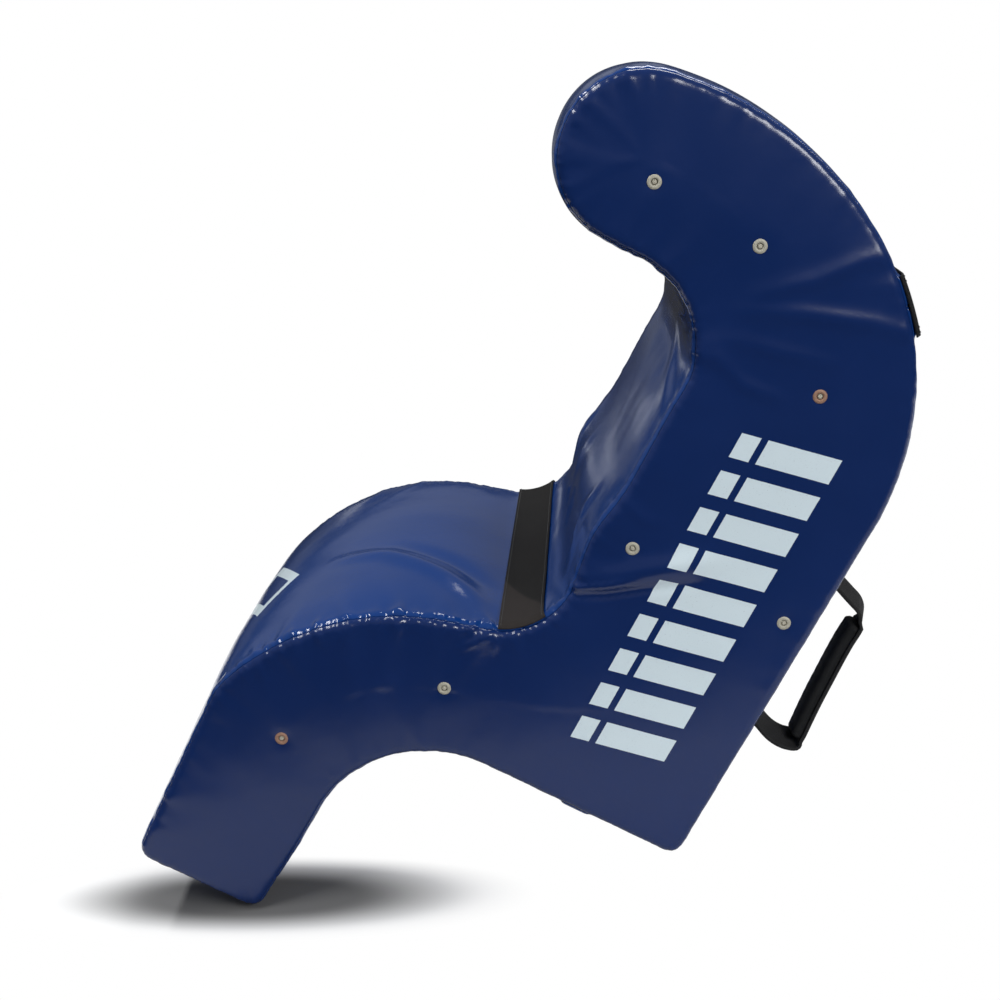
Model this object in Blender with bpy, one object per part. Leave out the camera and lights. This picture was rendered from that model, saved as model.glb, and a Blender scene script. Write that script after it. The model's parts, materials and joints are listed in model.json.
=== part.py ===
"""Jackal bag: a hooked foam training pad in a sewn PVC cover, on its foot edge and its base edge.

The bag is one side outline run across its width. The outline is drawn upright, with x = 0 on the
straight back, x falling towards the leg, and z = 0 on the flat base. An empty then leans the whole
bag forward on to the two edges that it stands on.
"""

import math

import bmesh
import bpy
from mathutils import Matrix, Vector

# Driving dimensions of the bag, in metres and degrees
WIDTH = 0.530
TORSO_THICKNESS = 0.2455
BACK_HEIGHT = 0.416
SHOULDER_RADIUS = 0.298
SHOULDER_TURN = 56.0
CROWN_TURN = 45.0
NOSE_RADIUS = 0.086
NOSE_OVERHANG = 0.131
CROOK_RADIUS = 0.0885
LAP_HEIGHT = 0.160
LAP_RADIUS = 0.073
THIGH_SLOPE = 11.6
THIGH_TURN = 55.4
KNEE_RADIUS = 0.088
LEG_REACH = 0.528
LEG_DROP = 0.275
FOOT_LENGTH = 0.153
SHIN_LEAN = 4.0
ARCH_RADIUS = 0.133
CORNER_RADIUS = 0.018
EDGE_RADIUS = 0.013
FLAT_DEPTH = 0.0005

# Driving dimensions of the cover and of the foam blocks inside it
COVER_THICKNESS = 0.0012
SEAM_GAP = 0.0003
HEAD_JOINT_SETBACK = 0.018
LEG_JOINT_SETBACK = 0.015
FOOT_WRAP = 0.030

# Driving dimensions of the webbing sewn across the lap and across the back
STRAP_THICKNESS = 0.0025
STRAP_WRAP = 80.0
STRAP_WIDTH = 0.050
STRAP_SETBACK = 0.061
BAND_WIDTH = 0.062
BAND_RISE = 0.232

# Driving dimensions of the two carry handles
HANDLE_INSET = 0.105
HANDLE_BELOW_SHOULDER = 0.079
HANDLE_SPAN = 0.177
HANDLE_SAG = 0.025
HANDLE_REACH_TOP = 0.063
HANDLE_REACH_BOTTOM = 0.0775
HANDLE_BEND = 0.010
HANDLE_WEBBING_WIDTH = 0.040
HANDLE_WEBBING_THICKNESS = 0.004
HANDLE_FOLD_WIDTH = 0.024
HANDLE_FLARE_WIDTH = 0.026
HANDLE_NECK_WIDTH = 0.016
HANDLE_NECK_TAIL = 0.004
GRIP_PADDING = 0.0060
GRIP_WALL = 0.0030
GRIP_CORNER = 0.0060
GRIP_END_GAP = 0.013
ANCHOR_WIDTH = 0.050
ANCHOR_LENGTH = 0.050
ANCHOR_THICKNESS = 0.0022

# Driving dimensions of the vent eyelets
EYELET_FLANGE = 0.0070
EYELET_BARREL = 0.0044
EYELET_BORE = 0.0034
EYELET_LIP = 0.0009
EYELET_FACETS = 14

# Each eyelet's stretch of the outline, its share of the way along it, and its inset from it
EYELETS = {
    "nose": ("underside", 0.42, 0.072),
    "crown": ("crown", 0.32, 0.098),
    "shoulder": ("shoulder", 0.50, 0.097),
    "chest": ("inner", 0.70, 0.037),
    "back": ("back", 0.685, 0.0355),
    "thigh": ("arch", 0.75, 0.081),
    "shin": ("shin", 0.012, 0.090),
}

# Driving dimensions of the zip across the base
ZIP_SETBACK = 0.125
ZIP_END_INSET = 0.065
ZIP_SLOT = 0.011
TAPE_WIDTH = 0.015
TAPE_THICKNESS = 0.0008
TAPE_TAIL = 0.0075
COIL_WIDTH = 0.0025
COIL_THICKNESS = 0.0020
COIL_ROUNDING = 0.0004
COIL_PARTING = 0.0016
STOP_LENGTH = 0.004
SLIDER_LENGTH = 0.012
SLIDER_WIDTH = 0.0084
SLIDER_PLATE = 0.0014
SLIDER_POST_LENGTH = 0.006
SLIDER_PLAY = 0.0004
BRIDGE_WIDTH = 0.0018
BRIDGE_LENGTH = 0.0080
PULL_WIDTH = 0.0070
PULL_LENGTH = 0.026
PULL_THICKNESS = 0.0012
PULL_WIRE = 0.0011

# How finely the round forms are faceted
LARGE_ARC_STEP = 7.0
MIDDLE_ARC_STEP = 11.5
SMALL_ARC_STEP = 15.0
EDGE_STEPS = 3
CORNER_STEPS = 3
BEND_STEPS = 4


def material(name, colour, roughness, metallic=0.0):
    """A plain Principled material of this colour and finish."""
    made = bpy.data.materials.new(name)
    made.use_nodes = True
    shader = made.node_tree.nodes["Principled BSDF"]
    shader.inputs["Base Color"].default_value = (*colour, 1.0)
    shader.inputs["Roughness"].default_value = roughness
    shader.inputs["Metallic"].default_value = metallic
    made.diffuse_color = (*colour, 1.0)
    return made


def add(name, bm, finish, place=(0.0, 0.0, 0.0)):
    """Turns a bmesh into a named object that leans with the bag."""
    bmesh.ops.recalc_face_normals(bm, faces=bm.faces)
    mesh = bpy.data.meshes.new(name)
    bm.to_mesh(mesh)
    bm.free()
    mesh.materials.append(finish)
    mesh.shade_smooth()
    mesh.set_sharp_from_angle(angle=math.radians(35))
    made = bpy.data.objects.new(name, mesh)
    bpy.context.scene.collection.objects.link(made)
    made.parent = LEAN
    made.location = place
    return made


def helper(name, bm, place=(0.0, 0.0, 0.0)):
    """A hidden solid that only cuts others or joins them."""
    made = add(name, bm, PVC_BLUE, place)
    made.hide_render = True
    made.display_type = "WIRE"
    return made


def combine(piece, tool, operation):
    """Cuts the tool's shape out of the piece, or joins it on."""
    change = piece.modifiers.new(tool.name, "BOOLEAN")
    change.operation = operation
    change.solver = "EXACT"
    change.object = tool


class Outline:
    """The closed side outline, walked anticlockwise, as points with outward directions."""

    def __init__(self, start, heading):
        self.point = Vector(start)
        self.heading = heading
        self.stations = [(self.point.copy(), self.outward())]
        self.lengths = [0.0]
        self.stretches = {}

    def outward(self):
        turned = math.radians(self.heading - 90)
        return Vector((math.cos(turned), math.sin(turned)))

    def note(self, point):
        self.lengths.append(self.lengths[-1] + (point - self.stations[-1][0]).length)
        self.stations.append((point.copy(), self.outward()))
        self.point = point

    def line(self, name, length):
        start = self.lengths[-1]
        ahead = math.radians(self.heading)
        self.note(self.point + length * Vector((math.cos(ahead), math.sin(ahead))))
        self.stretches[name] = (start, self.lengths[-1])

    def arc(self, name, radius, turn, step):
        """Turns left by this many degrees, or right if the turn is negative."""
        start = self.lengths[-1]
        side = math.copysign(radius, turn)
        centre = self.point - side * self.outward()
        steps = max(1, round(abs(turn) / step))
        for _ in range(steps):
            self.heading += turn / steps
            self.note(centre + side * self.outward())
        self.stretches[name] = (start, self.lengths[-1])

    def along(self, name, share):
        """The length of outline up to a share of the way along a stretch."""
        start, end = self.stretches[name]
        return start + share * (end - start)

    def between(self, first, last):
        """The stations from one length along the outline to another, with its ends interpolated."""
        if last < first:
            return self.between(first, self.lengths[-1]) + self.between(0.0, last)[1:]
        inside = [
            station
            for length, station in zip(self.lengths, self.stations)
            if first + SEAM_GAP / 2 < length < last - SEAM_GAP / 2
        ]
        return [self.at(first), *inside, self.at(last)]

    def at(self, length):
        """The point and outward direction at this length along the outline."""
        after = 1
        while after < len(self.lengths) - 1 and self.lengths[after] < length:
            after += 1
        run = self.lengths[after] - self.lengths[after - 1]
        share = (length - self.lengths[after - 1]) / run
        point_a, out_a = self.stations[after - 1]
        point_b, out_b = self.stations[after]
        return point_a.lerp(point_b, share), out_a.lerp(out_b, share)


def crown_radius():
    """The crown's radius, which brings the nose this far over the inner face."""
    shoulder_end = math.radians(SHOULDER_TURN)
    crown_end = math.radians(SHOULDER_TURN + CROWN_TURN)
    reach = TORSO_THICKNESS + NOSE_OVERHANG - SHOULDER_RADIUS * (1 - math.cos(shoulder_end))
    reach -= NOSE_RADIUS * math.cos(crown_end)
    return reach / (math.cos(shoulder_end) - math.cos(crown_end))


def draw_outline():
    """The side outline, from the base corner up the back, over the head and down the leg."""
    line = Outline((-CORNER_RADIUS, 0.0), 0.0)
    line.arc("base_corner", CORNER_RADIUS, 90, SMALL_ARC_STEP)
    line.line("back", BACK_HEIGHT - CORNER_RADIUS)
    line.arc("shoulder", SHOULDER_RADIUS, SHOULDER_TURN, LARGE_ARC_STEP)
    line.arc("crown", crown_radius(), CROWN_TURN, LARGE_ARC_STEP)
    line.arc("nose", NOSE_RADIUS, 270 - SHOULDER_TURN - CROWN_TURN, MIDDLE_ARC_STEP)
    underside = line.point.y
    line.line("underside", NOSE_OVERHANG - CROOK_RADIUS)
    line.arc("crook", CROOK_RADIUS, -90, MIDDLE_ARC_STEP)
    lap_turn = 90 - THIGH_SLOPE
    lap_tangent = LAP_RADIUS * math.tan(math.radians(lap_turn / 2))
    line.line("inner", underside - CROOK_RADIUS - LAP_HEIGHT - lap_tangent)
    line.arc("lap", LAP_RADIUS, -lap_turn, MIDDLE_ARC_STEP)
    knee_turn = 90 - THIGH_SLOPE - THIGH_TURN
    knee_rise = math.sin(math.radians(THIGH_SLOPE + THIGH_TURN))
    thigh_run = LEG_REACH + line.point.x - KNEE_RADIUS * (1 - knee_rise)
    thigh_radius = thigh_run / (knee_rise - math.sin(math.radians(THIGH_SLOPE)))
    line.arc("thigh", thigh_radius, THIGH_TURN, LARGE_ARC_STEP)
    line.arc("knee", KNEE_RADIUS, knee_turn, MIDDLE_ARC_STEP)
    line.line("shin", line.point.y + LEG_DROP - CORNER_RADIUS)
    line.arc("toe", CORNER_RADIUS, 90, SMALL_ARC_STEP)
    heel_turn = 90 - SHIN_LEAN
    heel_tangent = CORNER_RADIUS * math.tan(math.radians(heel_turn / 2))
    line.line("sole", FOOT_LENGTH - CORNER_RADIUS - heel_tangent)
    line.arc("heel", CORNER_RADIUS, heel_turn, SMALL_ARC_STEP)
    lean = math.radians(SHIN_LEAN)
    arch_start = -ARCH_RADIUS * (1 - math.sin(lean))
    line.line("calf", (arch_start - line.point.y) / math.cos(lean))
    line.arc("arch", ARCH_RADIUS, -heel_turn, LARGE_ARC_STEP)
    line.line("base", -CORNER_RADIUS - line.point.x)
    return line


def across(proud, wrap=90.0):
    """The cross section from one side face to the other, as (inset from the outline, y).

    It lies this far proud of the cover's outer face, and turns over each edge by wrap degrees.
    """
    radius = EDGE_RADIUS + proud
    half = []
    for i in range(EDGE_STEPS + 1):
        turned = math.radians(wrap * i / EDGE_STEPS)
        y = WIDTH / 2 - EDGE_RADIUS + radius * math.sin(turned)
        half.append((EDGE_RADIUS - radius * math.cos(turned), y))
    return [(inset, -y) for inset, y in reversed(half)] + half


def flattened(point):
    """Presses a point of the cover flat where the bag stands."""
    depth = FLAT_DEPTH - (point - HEEL_CONTACT).dot(UPWARD)
    return point + UPWARD * max(0.0, depth)


def join_rings(bm, rings):
    """Walls between rings of points, and a cap on the first and the last."""
    count = len(rings[0])
    for here, ahead in zip(rings, rings[1:]):
        for i in range(count):
            j = (i + 1) % count
            bm.faces.new((here[i], here[j], ahead[j], ahead[i]))
    bm.faces.new(rings[0])
    bm.faces.new(rings[-1])


def outline_ring(bm, inset, y):
    """The whole outline at one place across the width, drawn in by this much."""
    ring = []
    for point, out in OUTLINE.stations[:-1]:
        place = point - out * inset
        ring.append(bm.verts.new((place.x, y, place.y)))
    return ring


def skin(name, first, last, proud, thickness, finish, wrap=90.0):
    """A thin sheet on the outline between two lengths along it, which turns over both side edges."""
    section = across(proud, wrap) + across(proud - thickness, wrap)[::-1]
    bm = bmesh.new()
    rings = []
    for point, out in OUTLINE.between(first, last):
        ring = []
        for inset, y in section:
            place = point - out * inset
            ring.append(bm.verts.new(flattened(Vector((place.x, y, place.y)))))
        rings.append(ring)
    join_rings(bm, rings)
    return add(name, bm, finish)


def box(low, high):
    """A block between two corners."""
    bm = bmesh.new()
    size = Vector(high) - Vector(low)
    middle = (Vector(high) + Vector(low)) / 2
    place = Matrix.Translation(middle) @ Matrix.Diagonal((*size, 1))
    bmesh.ops.create_cube(bm, size=1.0, matrix=place)
    return bm


def joined(name, blocks, finish, place):
    """One body from blocks that overlap, each given by two corners."""
    made = add(name, box(*blocks[0]), finish, place)
    for i, block in enumerate(blocks[1:]):
        combine(made, helper(f"{name}_block_{i}", box(*block), place), "UNION")
    return made


def make_foam():
    """The three foam blocks, glued at the head joint and at the leg joint."""
    core = bmesh.new()
    join_rings(core, [outline_ring(core, inset, y) for inset, y in across(-FOAM_INSET)])
    bmesh.ops.recalc_face_normals(core, faces=core.faces)
    crook_end, _ = OUTLINE.at(OUTLINE.along("inner", 0.0))
    head_joint = Vector((0.0, 0.0, crook_end.y - HEAD_JOINT_SETBACK))
    leg_joint = Vector((-TORSO_THICKNESS - LEG_JOINT_SETBACK, 0.0, 0.0))
    up = Vector((0.0, 0.0, 1.0))
    back = Vector((1.0, 0.0, 0.0))
    blocks = {
        "foam_head": ((head_joint, up),),
        "foam_torso": ((head_joint, -up), (leg_joint, back)),
        "foam_leg": ((head_joint, -up), (leg_joint, -back)),
    }
    made = {}
    for name, joints in blocks.items():
        bm = core.copy()
        for place, keep in joints:
            slice_block(bm, place + keep * SEAM_GAP / 2, keep)
        made[name] = add(name, bm, FOAM_CREAM)
    core.free()
    return made


def slice_block(bm, place, keep):
    """Cuts a solid with a plane, keeps the side that keep points to, and closes the cut."""
    parts = bm.verts[:] + bm.edges[:] + bm.faces[:]
    result = bmesh.ops.bisect_plane(
        bm, geom=parts, dist=1e-7, plane_co=place, plane_no=keep, clear_inner=True
    )
    edges = [part for part in result["geom_cut"] if isinstance(part, bmesh.types.BMEdge)]
    bmesh.ops.contextual_create(bm, geom=[edge for edge in edges if edge.is_boundary])


def make_side_panels():
    """The two flat side panels, with a hole for each vent eyelet."""
    for side, sign in SIDES.items():
        bm = bmesh.new()
        faces = (sign * WIDTH / 2, sign * (WIDTH / 2 - COVER_THICKNESS))
        join_rings(bm, [outline_ring(bm, EDGE_RADIUS + SEAM_GAP, y) for y in faces])
        panel = add(f"side_panel_{side}", bm, PVC_SIDE_BLUE)
        holes = eyelet_cutters(f"{side}_holes", sign, EYELET_BARREL + SEAM_GAP, 2 * COVER_THICKNESS)
        combine(panel, holes, "DIFFERENCE")


def eyelet_places():
    """Each eyelet's name and its place on the side, as (x, z)."""
    for label, (stretch, share, inset) in EYELETS.items():
        point, out = OUTLINE.at(OUTLINE.along(stretch, share))
        yield label, point - out * inset


def eyelet_cutters(name, sign, radius, depth):
    """Round cutters at every eyelet of one side, reaching this deep from the side face."""
    bm = bmesh.new()
    proud = COVER_THICKNESS
    middle = sign * (WIDTH / 2 + (proud - depth) / 2)
    turn = Matrix.Rotation(math.pi / 2, 4, "X")
    for _, place in eyelet_places():
        bmesh.ops.create_cone(
            bm,
            cap_ends=True,
            segments=EYELET_FACETS,
            radius1=radius,
            radius2=radius,
            depth=depth + proud,
            matrix=Matrix.Translation((place.x, middle, place.y)) @ turn,
        )
    return helper(name, bm)


def make_gussets():
    """The strips that close the cover round the outline, from seam to seam."""
    lap_seam = OUTLINE.stretches["lap"][0] + STRAP_SETBACK
    band_seam = OUTLINE.stretches["shoulder"][0] + BAND_RISE
    toe_seam = OUTLINE.stretches["toe"][0] - FOOT_WRAP
    heel_seam = OUTLINE.stretches["calf"][0] + FOOT_WRAP
    base_seam = OUTLINE.lengths[-1] - FOOT_WRAP
    strips = {
        "gusset_head": (band_seam, lap_seam),
        "gusset_thigh": (lap_seam, toe_seam),
        "gusset_foot": (toe_seam, heel_seam),
        "gusset_arch": (heel_seam, base_seam),
        "gusset_back": (base_seam, band_seam),
    }
    made = {}
    for name, (first, last) in strips.items():
        ends = (first + SEAM_GAP / 2, last - SEAM_GAP / 2)
        made[name] = skin(name, *ends, 0.0, COVER_THICKNESS, PVC_BLUE)
    webbing = {
        "lap_strap": (lap_seam, STRAP_WIDTH),
        "back_band": (band_seam, BAND_WIDTH),
    }
    for name, (middle, width) in webbing.items():
        ends = (middle - width / 2, middle + width / 2)
        proud = SEAM_GAP + STRAP_THICKNESS
        skin(name, *ends, proud, STRAP_THICKNESS, WEBBING_BLACK, STRAP_WRAP)
    return made


def make_eyelets():
    """A brass vent eyelet in each hole, with its flange outside and its rolled lip inside."""
    lip_start = COVER_THICKNESS + SEAM_GAP
    profile = (
        (EYELET_BORE, -SEAM_GAP - EYELET_LIP),
        (EYELET_FLANGE, -SEAM_GAP),
        (EYELET_BARREL, -SEAM_GAP),
        (EYELET_BARREL, lip_start),
        (EYELET_LIP_RADIUS, lip_start),
        (EYELET_BORE, lip_start + EYELET_LIP),
    )
    for side, sign in SIDES.items():
        for label, place in eyelet_places():
            bm = bmesh.new()
            rings = []
            for i in range(EYELET_FACETS):
                turned = 2 * math.pi * i / EYELET_FACETS
                ring = []
                for radius, depth in profile:
                    x = radius * math.cos(turned)
                    z = radius * math.sin(turned)
                    ring.append(bm.verts.new((x, -sign * depth, z)))
                rings.append(ring)
            for i in range(EYELET_FACETS):
                here = rings[i - 1]
                ahead = rings[i]
                for j in range(len(profile)):
                    bm.faces.new((here[j - 1], here[j], ahead[j], ahead[j - 1]))
            at = (place.x, sign * WIDTH / 2, place.y)
            add(f"eyelet_{side}_{label}", bm, EYELET_BRASS, at)


def cut_eyelet_pockets(foam):
    """Shallow pockets in the foam that clear the eyelets' rolled lips."""
    depth = COVER_THICKNESS + EYELET_LIP + 3 * SEAM_GAP
    for side, sign in SIDES.items():
        pockets = eyelet_cutters(f"{side}_pockets", sign, EYELET_LIP_RADIUS + 2 * SEAM_GAP, depth)
        for block in foam.values():
            combine(block, pockets, "DIFFERENCE")


def handle_path():
    """The loop's middle line with its webbing's width, as (off the back, height, width)."""
    high = HANDLE_HIGH
    low = HANDLE_HIGH - HANDLE_SPAN
    root = HANDLE_PIVOT - HANDLE_NECK_TAIL
    clear = HANDLE_PIVOT + math.hypot(HANDLE_PIVOT, HANDLE_NECK_WIDTH / 2) + SEAM_GAP
    top = Vector((HANDLE_REACH_TOP, high - HANDLE_SAG, HANDLE_WEBBING_WIDTH))
    bottom = Vector((HANDLE_REACH_BOTTOM, low - HANDLE_SAG, HANDLE_WEBBING_WIDTH))
    corners = [
        Vector((root, high, HANDLE_NECK_WIDTH)),
        Vector((clear, high, HANDLE_FLARE_WIDTH)),
        top,
        *grip_ends(top, bottom),
        bottom,
        Vector((clear, low, HANDLE_FLARE_WIDTH)),
        Vector((root, low, HANDLE_NECK_WIDTH)),
    ]
    path = [corners[0]]
    for before, corner, after in zip(corners, corners[1:], corners[2:]):
        arrive = corner + (before - corner).normalized() * HANDLE_BEND / 2
        leave = corner + (after - corner).normalized() * HANDLE_BEND / 2
        for i in range(BEND_STEPS + 1):
            share = i / BEND_STEPS
            path.append(arrive.lerp(corner, share).lerp(corner.lerp(leave, share), share))
    path.append(corners[-1])
    return path


def grip_ends(top, bottom):
    """Where the sewn grip starts and ends on the loop's outer side."""
    down = bottom - top
    down.z = 0.0
    down.normalize()
    ends = (top + down * GRIP_END_GAP, bottom - down * GRIP_END_GAP)
    return [Vector((end.x, end.y, HANDLE_FOLD_WIDTH)) for end in ends]


def make_handle(side, sign):
    """A webbing loop with a sewn grip, swinging in two anchor tabs that are sewn to the back."""
    y = sign * (WIDTH / 2 - HANDLE_INSET)
    path = handle_path()
    bm = bmesh.new()
    rings = []
    for i, point in enumerate(path):
        ahead = path[min(i + 1, len(path) - 1)] - path[max(i - 1, 0)]
        face = Vector((ahead.y, -ahead.x)).normalized() * HANDLE_WEBBING_THICKNESS / 2
        half = point.z / 2
        ring = []
        for edge, side_of in ((-half, 1), (half, 1), (half, -1), (-half, -1)):
            off = point.x + side_of * face.x - HANDLE_PIVOT
            ring.append(bm.verts.new((off, edge, point.y + side_of * face.y)))
        rings.append(ring)
    join_rings(bm, rings)
    pivot = (HANDLE_PIVOT, y, 0.0)
    add(f"handle_{side}_webbing", bm, WEBBING_BLACK, pivot)
    make_grip(f"handle_{side}_grip", pivot)
    for end, height in (("upper", HANDLE_HIGH), ("lower", HANDLE_HIGH - HANDLE_SPAN)):
        make_anchor(f"handle_{side}_anchor_{end}", (0.0, y, height))


def make_anchor(name, place):
    """A webbing patch sewn flat on the back, with two plies that hold the loop's end."""
    outer = SEAM_GAP + ANCHOR_THICKNESS
    root = SEAM_GAP + ANCHOR_THICKNESS / 2
    tip = HANDLE_PIVOT + HANDLE_NECK_TAIL
    half_width = ANCHOR_WIDTH / 2
    half_length = ANCHOR_LENGTH / 2
    half_ply = HANDLE_NECK_WIDTH / 2
    inside = HANDLE_WEBBING_THICKNESS / 2 + SEAM_GAP
    outside = inside + ANCHOR_THICKNESS
    blocks = (
        ((SEAM_GAP, -half_width, -half_length), (outer, half_width, half_length)),
        ((root, -half_ply, inside), (tip, half_ply, outside)),
        ((root, -half_ply, -outside), (tip, half_ply, -inside)),
    )
    joined(name, blocks, WEBBING_BLACK, place)


def make_grip(name, pivot):
    """The padded sleeve sewn round the straight outer side of the loop."""
    top = Vector((HANDLE_REACH_TOP, HANDLE_HIGH - HANDLE_SAG, 0.0))
    bottom = Vector((HANDLE_REACH_BOTTOM, HANDLE_HIGH - HANDLE_SPAN - HANDLE_SAG, 0.0))
    starts = grip_ends(top, bottom)
    down = (starts[1] - starts[0]).normalized()
    off = Vector((-down.y, down.x))
    bore = (
        HANDLE_WEBBING_THICKNESS / 2 + SEAM_GAP,
        HANDLE_FOLD_WIDTH / 2 + SEAM_GAP,
    )
    outer = (bore[0] + GRIP_PADDING, bore[1] + GRIP_WALL)
    bm = bmesh.new()
    rings = []
    for end in (starts[0] + down * HANDLE_BEND, starts[1] - down * HANDLE_BEND):
        for half_x, half_y, radius in ((*outer, GRIP_CORNER), (*bore, SEAM_GAP)):
            ring = []
            for across_x, y in rounded_rectangle(half_x, half_y, radius):
                place = Vector((end.x, end.y)) + off * across_x
                ring.append(bm.verts.new((place.x - HANDLE_PIVOT, y, place.y)))
            rings.append(ring)
    outer_top, inner_top, outer_bottom, inner_bottom = rings
    for here, ahead in (
        (outer_top, outer_bottom),
        (outer_bottom, inner_bottom),
        (inner_bottom, inner_top),
        (inner_top, outer_top),
    ):
        for i in range(len(here)):
            bm.faces.new((here[i - 1], here[i], ahead[i], ahead[i - 1]))
    add(name, bm, GRIP_BLACK, pivot)


def rounded_rectangle(half_x, half_y, radius):
    """Points round a rectangle with round corners."""
    for corner, (sign_x, sign_y) in enumerate(((1, 1), (-1, 1), (-1, -1), (1, -1))):
        for i in range(CORNER_STEPS + 1):
            turned = math.radians(90 * (corner + i / CORNER_STEPS))
            x = sign_x * (half_x - radius) + radius * math.cos(turned)
            y = sign_y * (half_y - radius) + radius * math.sin(turned)
            yield x, y


def make_zip(gusset, foam):
    """The zip across the base: its slot, its recess in the foam, its tapes, coils and stops."""
    x = -ZIP_SETBACK
    half_length = WIDTH / 2 - ZIP_END_INSET
    slot_low = (x - ZIP_SLOT / 2, -half_length, -COVER_THICKNESS)
    slot_high = (x + ZIP_SLOT / 2, half_length, 2 * COVER_THICKNESS)
    combine(gusset, helper("zip_slot", box(slot_low, slot_high)), "DIFFERENCE")
    recess_x = COIL_PARTING / 2 + TAPE_WIDTH + SEAM_GAP
    recess_y = half_length + TAPE_TAIL + SEAM_GAP
    recess_low = (x - recess_x, -recess_y, -COVER_THICKNESS)
    recess_high = (x + recess_x, recess_y, SLIDER_INNER_FACE + SLIDER_PLATE + SLIDER_PLAY)
    combine(foam, helper("zip_recess", box(recess_low, recess_high)), "DIFFERENCE")
    coil_end = half_length - STOP_LENGTH - 2 * SEAM_GAP
    tape_end = half_length + TAPE_TAIL
    for label, sign in (("front", -1), ("rear", 1)):
        near = x + sign * COIL_PARTING / 2
        far = near + sign * TAPE_WIDTH
        tape = box((near, -tape_end, FOAM_INSET), (far, tape_end, FOAM_INSET + TAPE_THICKNESS))
        add(f"zip_tape_{label}", tape, ZIP_TAPE)
        far = near + sign * COIL_WIDTH
        coil = box((near, -coil_end, COIL_OUTER_FACE), (far, coil_end, COVER_THICKNESS))
        bmesh.ops.recalc_face_normals(coil, faces=coil.faces)
        bmesh.ops.bevel(
            coil, geom=coil.edges[:], offset=COIL_ROUNDING, segments=1, affect="EDGES"
        )
        add(f"zip_coil_{label}", coil, ZIP_COIL)
    stop_x = COIL_PARTING / 2 + COIL_WIDTH
    for side, sign in SIDES.items():
        near = sign * (half_length - STOP_LENGTH)
        far = sign * (half_length - SEAM_GAP)
        stop = box((x - stop_x, near, COIL_OUTER_FACE), (x + stop_x, far, COVER_THICKNESS))
        add(f"zip_stop_{side}", stop, ZIP_METAL)
    parked = coil_end - SLIDER_LENGTH / 2 - SEAM_GAP
    make_slider((x, parked, 0.0))


def make_slider(place):
    """The slider, parked at the far end of the zip, and the pull that hangs in its bridge."""
    half_x = SLIDER_WIDTH / 2
    half_y = SLIDER_LENGTH / 2
    half_post = COIL_PARTING / 2 - SEAM_GAP
    half_post_y = SLIDER_POST_LENGTH / 2
    half_bar = BRIDGE_WIDTH / 2
    half_bridge = BRIDGE_LENGTH / 2
    outer_face = COIL_OUTER_FACE - SLIDER_PLAY
    plate_out = outer_face - SLIDER_PLATE
    plate_middle = outer_face - SLIDER_PLATE / 2
    inner_end = SLIDER_INNER_FACE + SLIDER_PLATE
    bridge_in = plate_out - PULL_WIRE - 3 * SLIDER_PLAY
    bridge_out = bridge_in - PULL_WIRE
    post_in = half_bridge - PULL_WIRE
    blocks = (
        ((-half_x, -half_y, plate_out), (half_x, half_y, outer_face)),
        ((-half_post, -half_post_y, plate_middle), (half_post, half_post_y, inner_end)),
        ((-half_x, -half_y, SLIDER_INNER_FACE), (half_x, half_y, inner_end)),
        ((-half_bar, -half_bridge, bridge_out), (half_bar, -post_in, plate_middle)),
        ((-half_bar, post_in, bridge_out), (half_bar, half_bridge, plate_middle)),
        ((-half_bar, -half_bridge, bridge_out), (half_bar, half_bridge, bridge_in)),
    )
    joined("zip_slider", blocks, ZIP_METAL, place)
    axis = (plate_out + bridge_in) / 2
    half = PULL_WIDTH / 2
    half_wire = PULL_WIRE / 2
    thin = PULL_THICKNESS / 2
    eye = math.hypot(half_bridge, axis - bridge_out) + 2 * SLIDER_PLAY
    blocks = (
        ((-half, -thin, -half_wire), (half, thin, half_wire)),
        ((-half, -thin, -eye - PULL_WIRE), (-half + PULL_WIRE, thin, half_wire)),
        ((half - PULL_WIRE, -thin, -eye - PULL_WIRE), (half, thin, half_wire)),
        ((-half, -thin, -PULL_LENGTH), (half, thin, -eye)),
    )
    joined("zip_pull", blocks, ZIP_METAL, (place[0], place[1], axis))


def lean_on_edges():
    """Leans the bag on to its heel edge and base edge, with the origin midway below its box."""
    LEAN.rotation_euler = (0.0, LEAN_ANGLE, 0.0)
    bpy.context.view_layer.update()
    low = Vector((math.inf, math.inf, math.inf))
    high = -low
    for piece in LEAN.children:
        if piece.hide_render:
            continue
        for vertex in piece.data.vertices:
            place = piece.matrix_world @ vertex.co
            low = Vector(map(min, low, place))
            high = Vector(map(max, high, place))
    middle = (low + high) / 2
    LEAN.location = (-middle.x, -middle.y, -low.z)


# The scene starts empty
for old in list(bpy.data.objects):
    bpy.data.objects.remove(old, do_unlink=True)

LEAN = bpy.data.objects.new("lean", None)
bpy.context.scene.collection.objects.link(LEAN)

PVC_BLUE = material("pvc_blue", (0.010, 0.035, 0.180), 0.25)
PVC_SIDE_BLUE = material("pvc_side_blue", (0.010, 0.024, 0.115), 0.30)
FOAM_CREAM = material("foam_cream", (0.55, 0.50, 0.38), 0.95)
WEBBING_BLACK = material("webbing_black", (0.012, 0.012, 0.013), 0.75)
GRIP_BLACK = material("grip_black", (0.010, 0.010, 0.011), 0.60)
EYELET_BRASS = material("eyelet_brass", (0.45, 0.40, 0.30), 0.35, 1.0)
ZIP_TAPE = material("zip_tape", (0.015, 0.015, 0.017), 0.80)
ZIP_COIL = material("zip_coil", (0.020, 0.020, 0.022), 0.40)
ZIP_METAL = material("zip_metal", (0.40, 0.40, 0.42), 0.30, 1.0)

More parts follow.
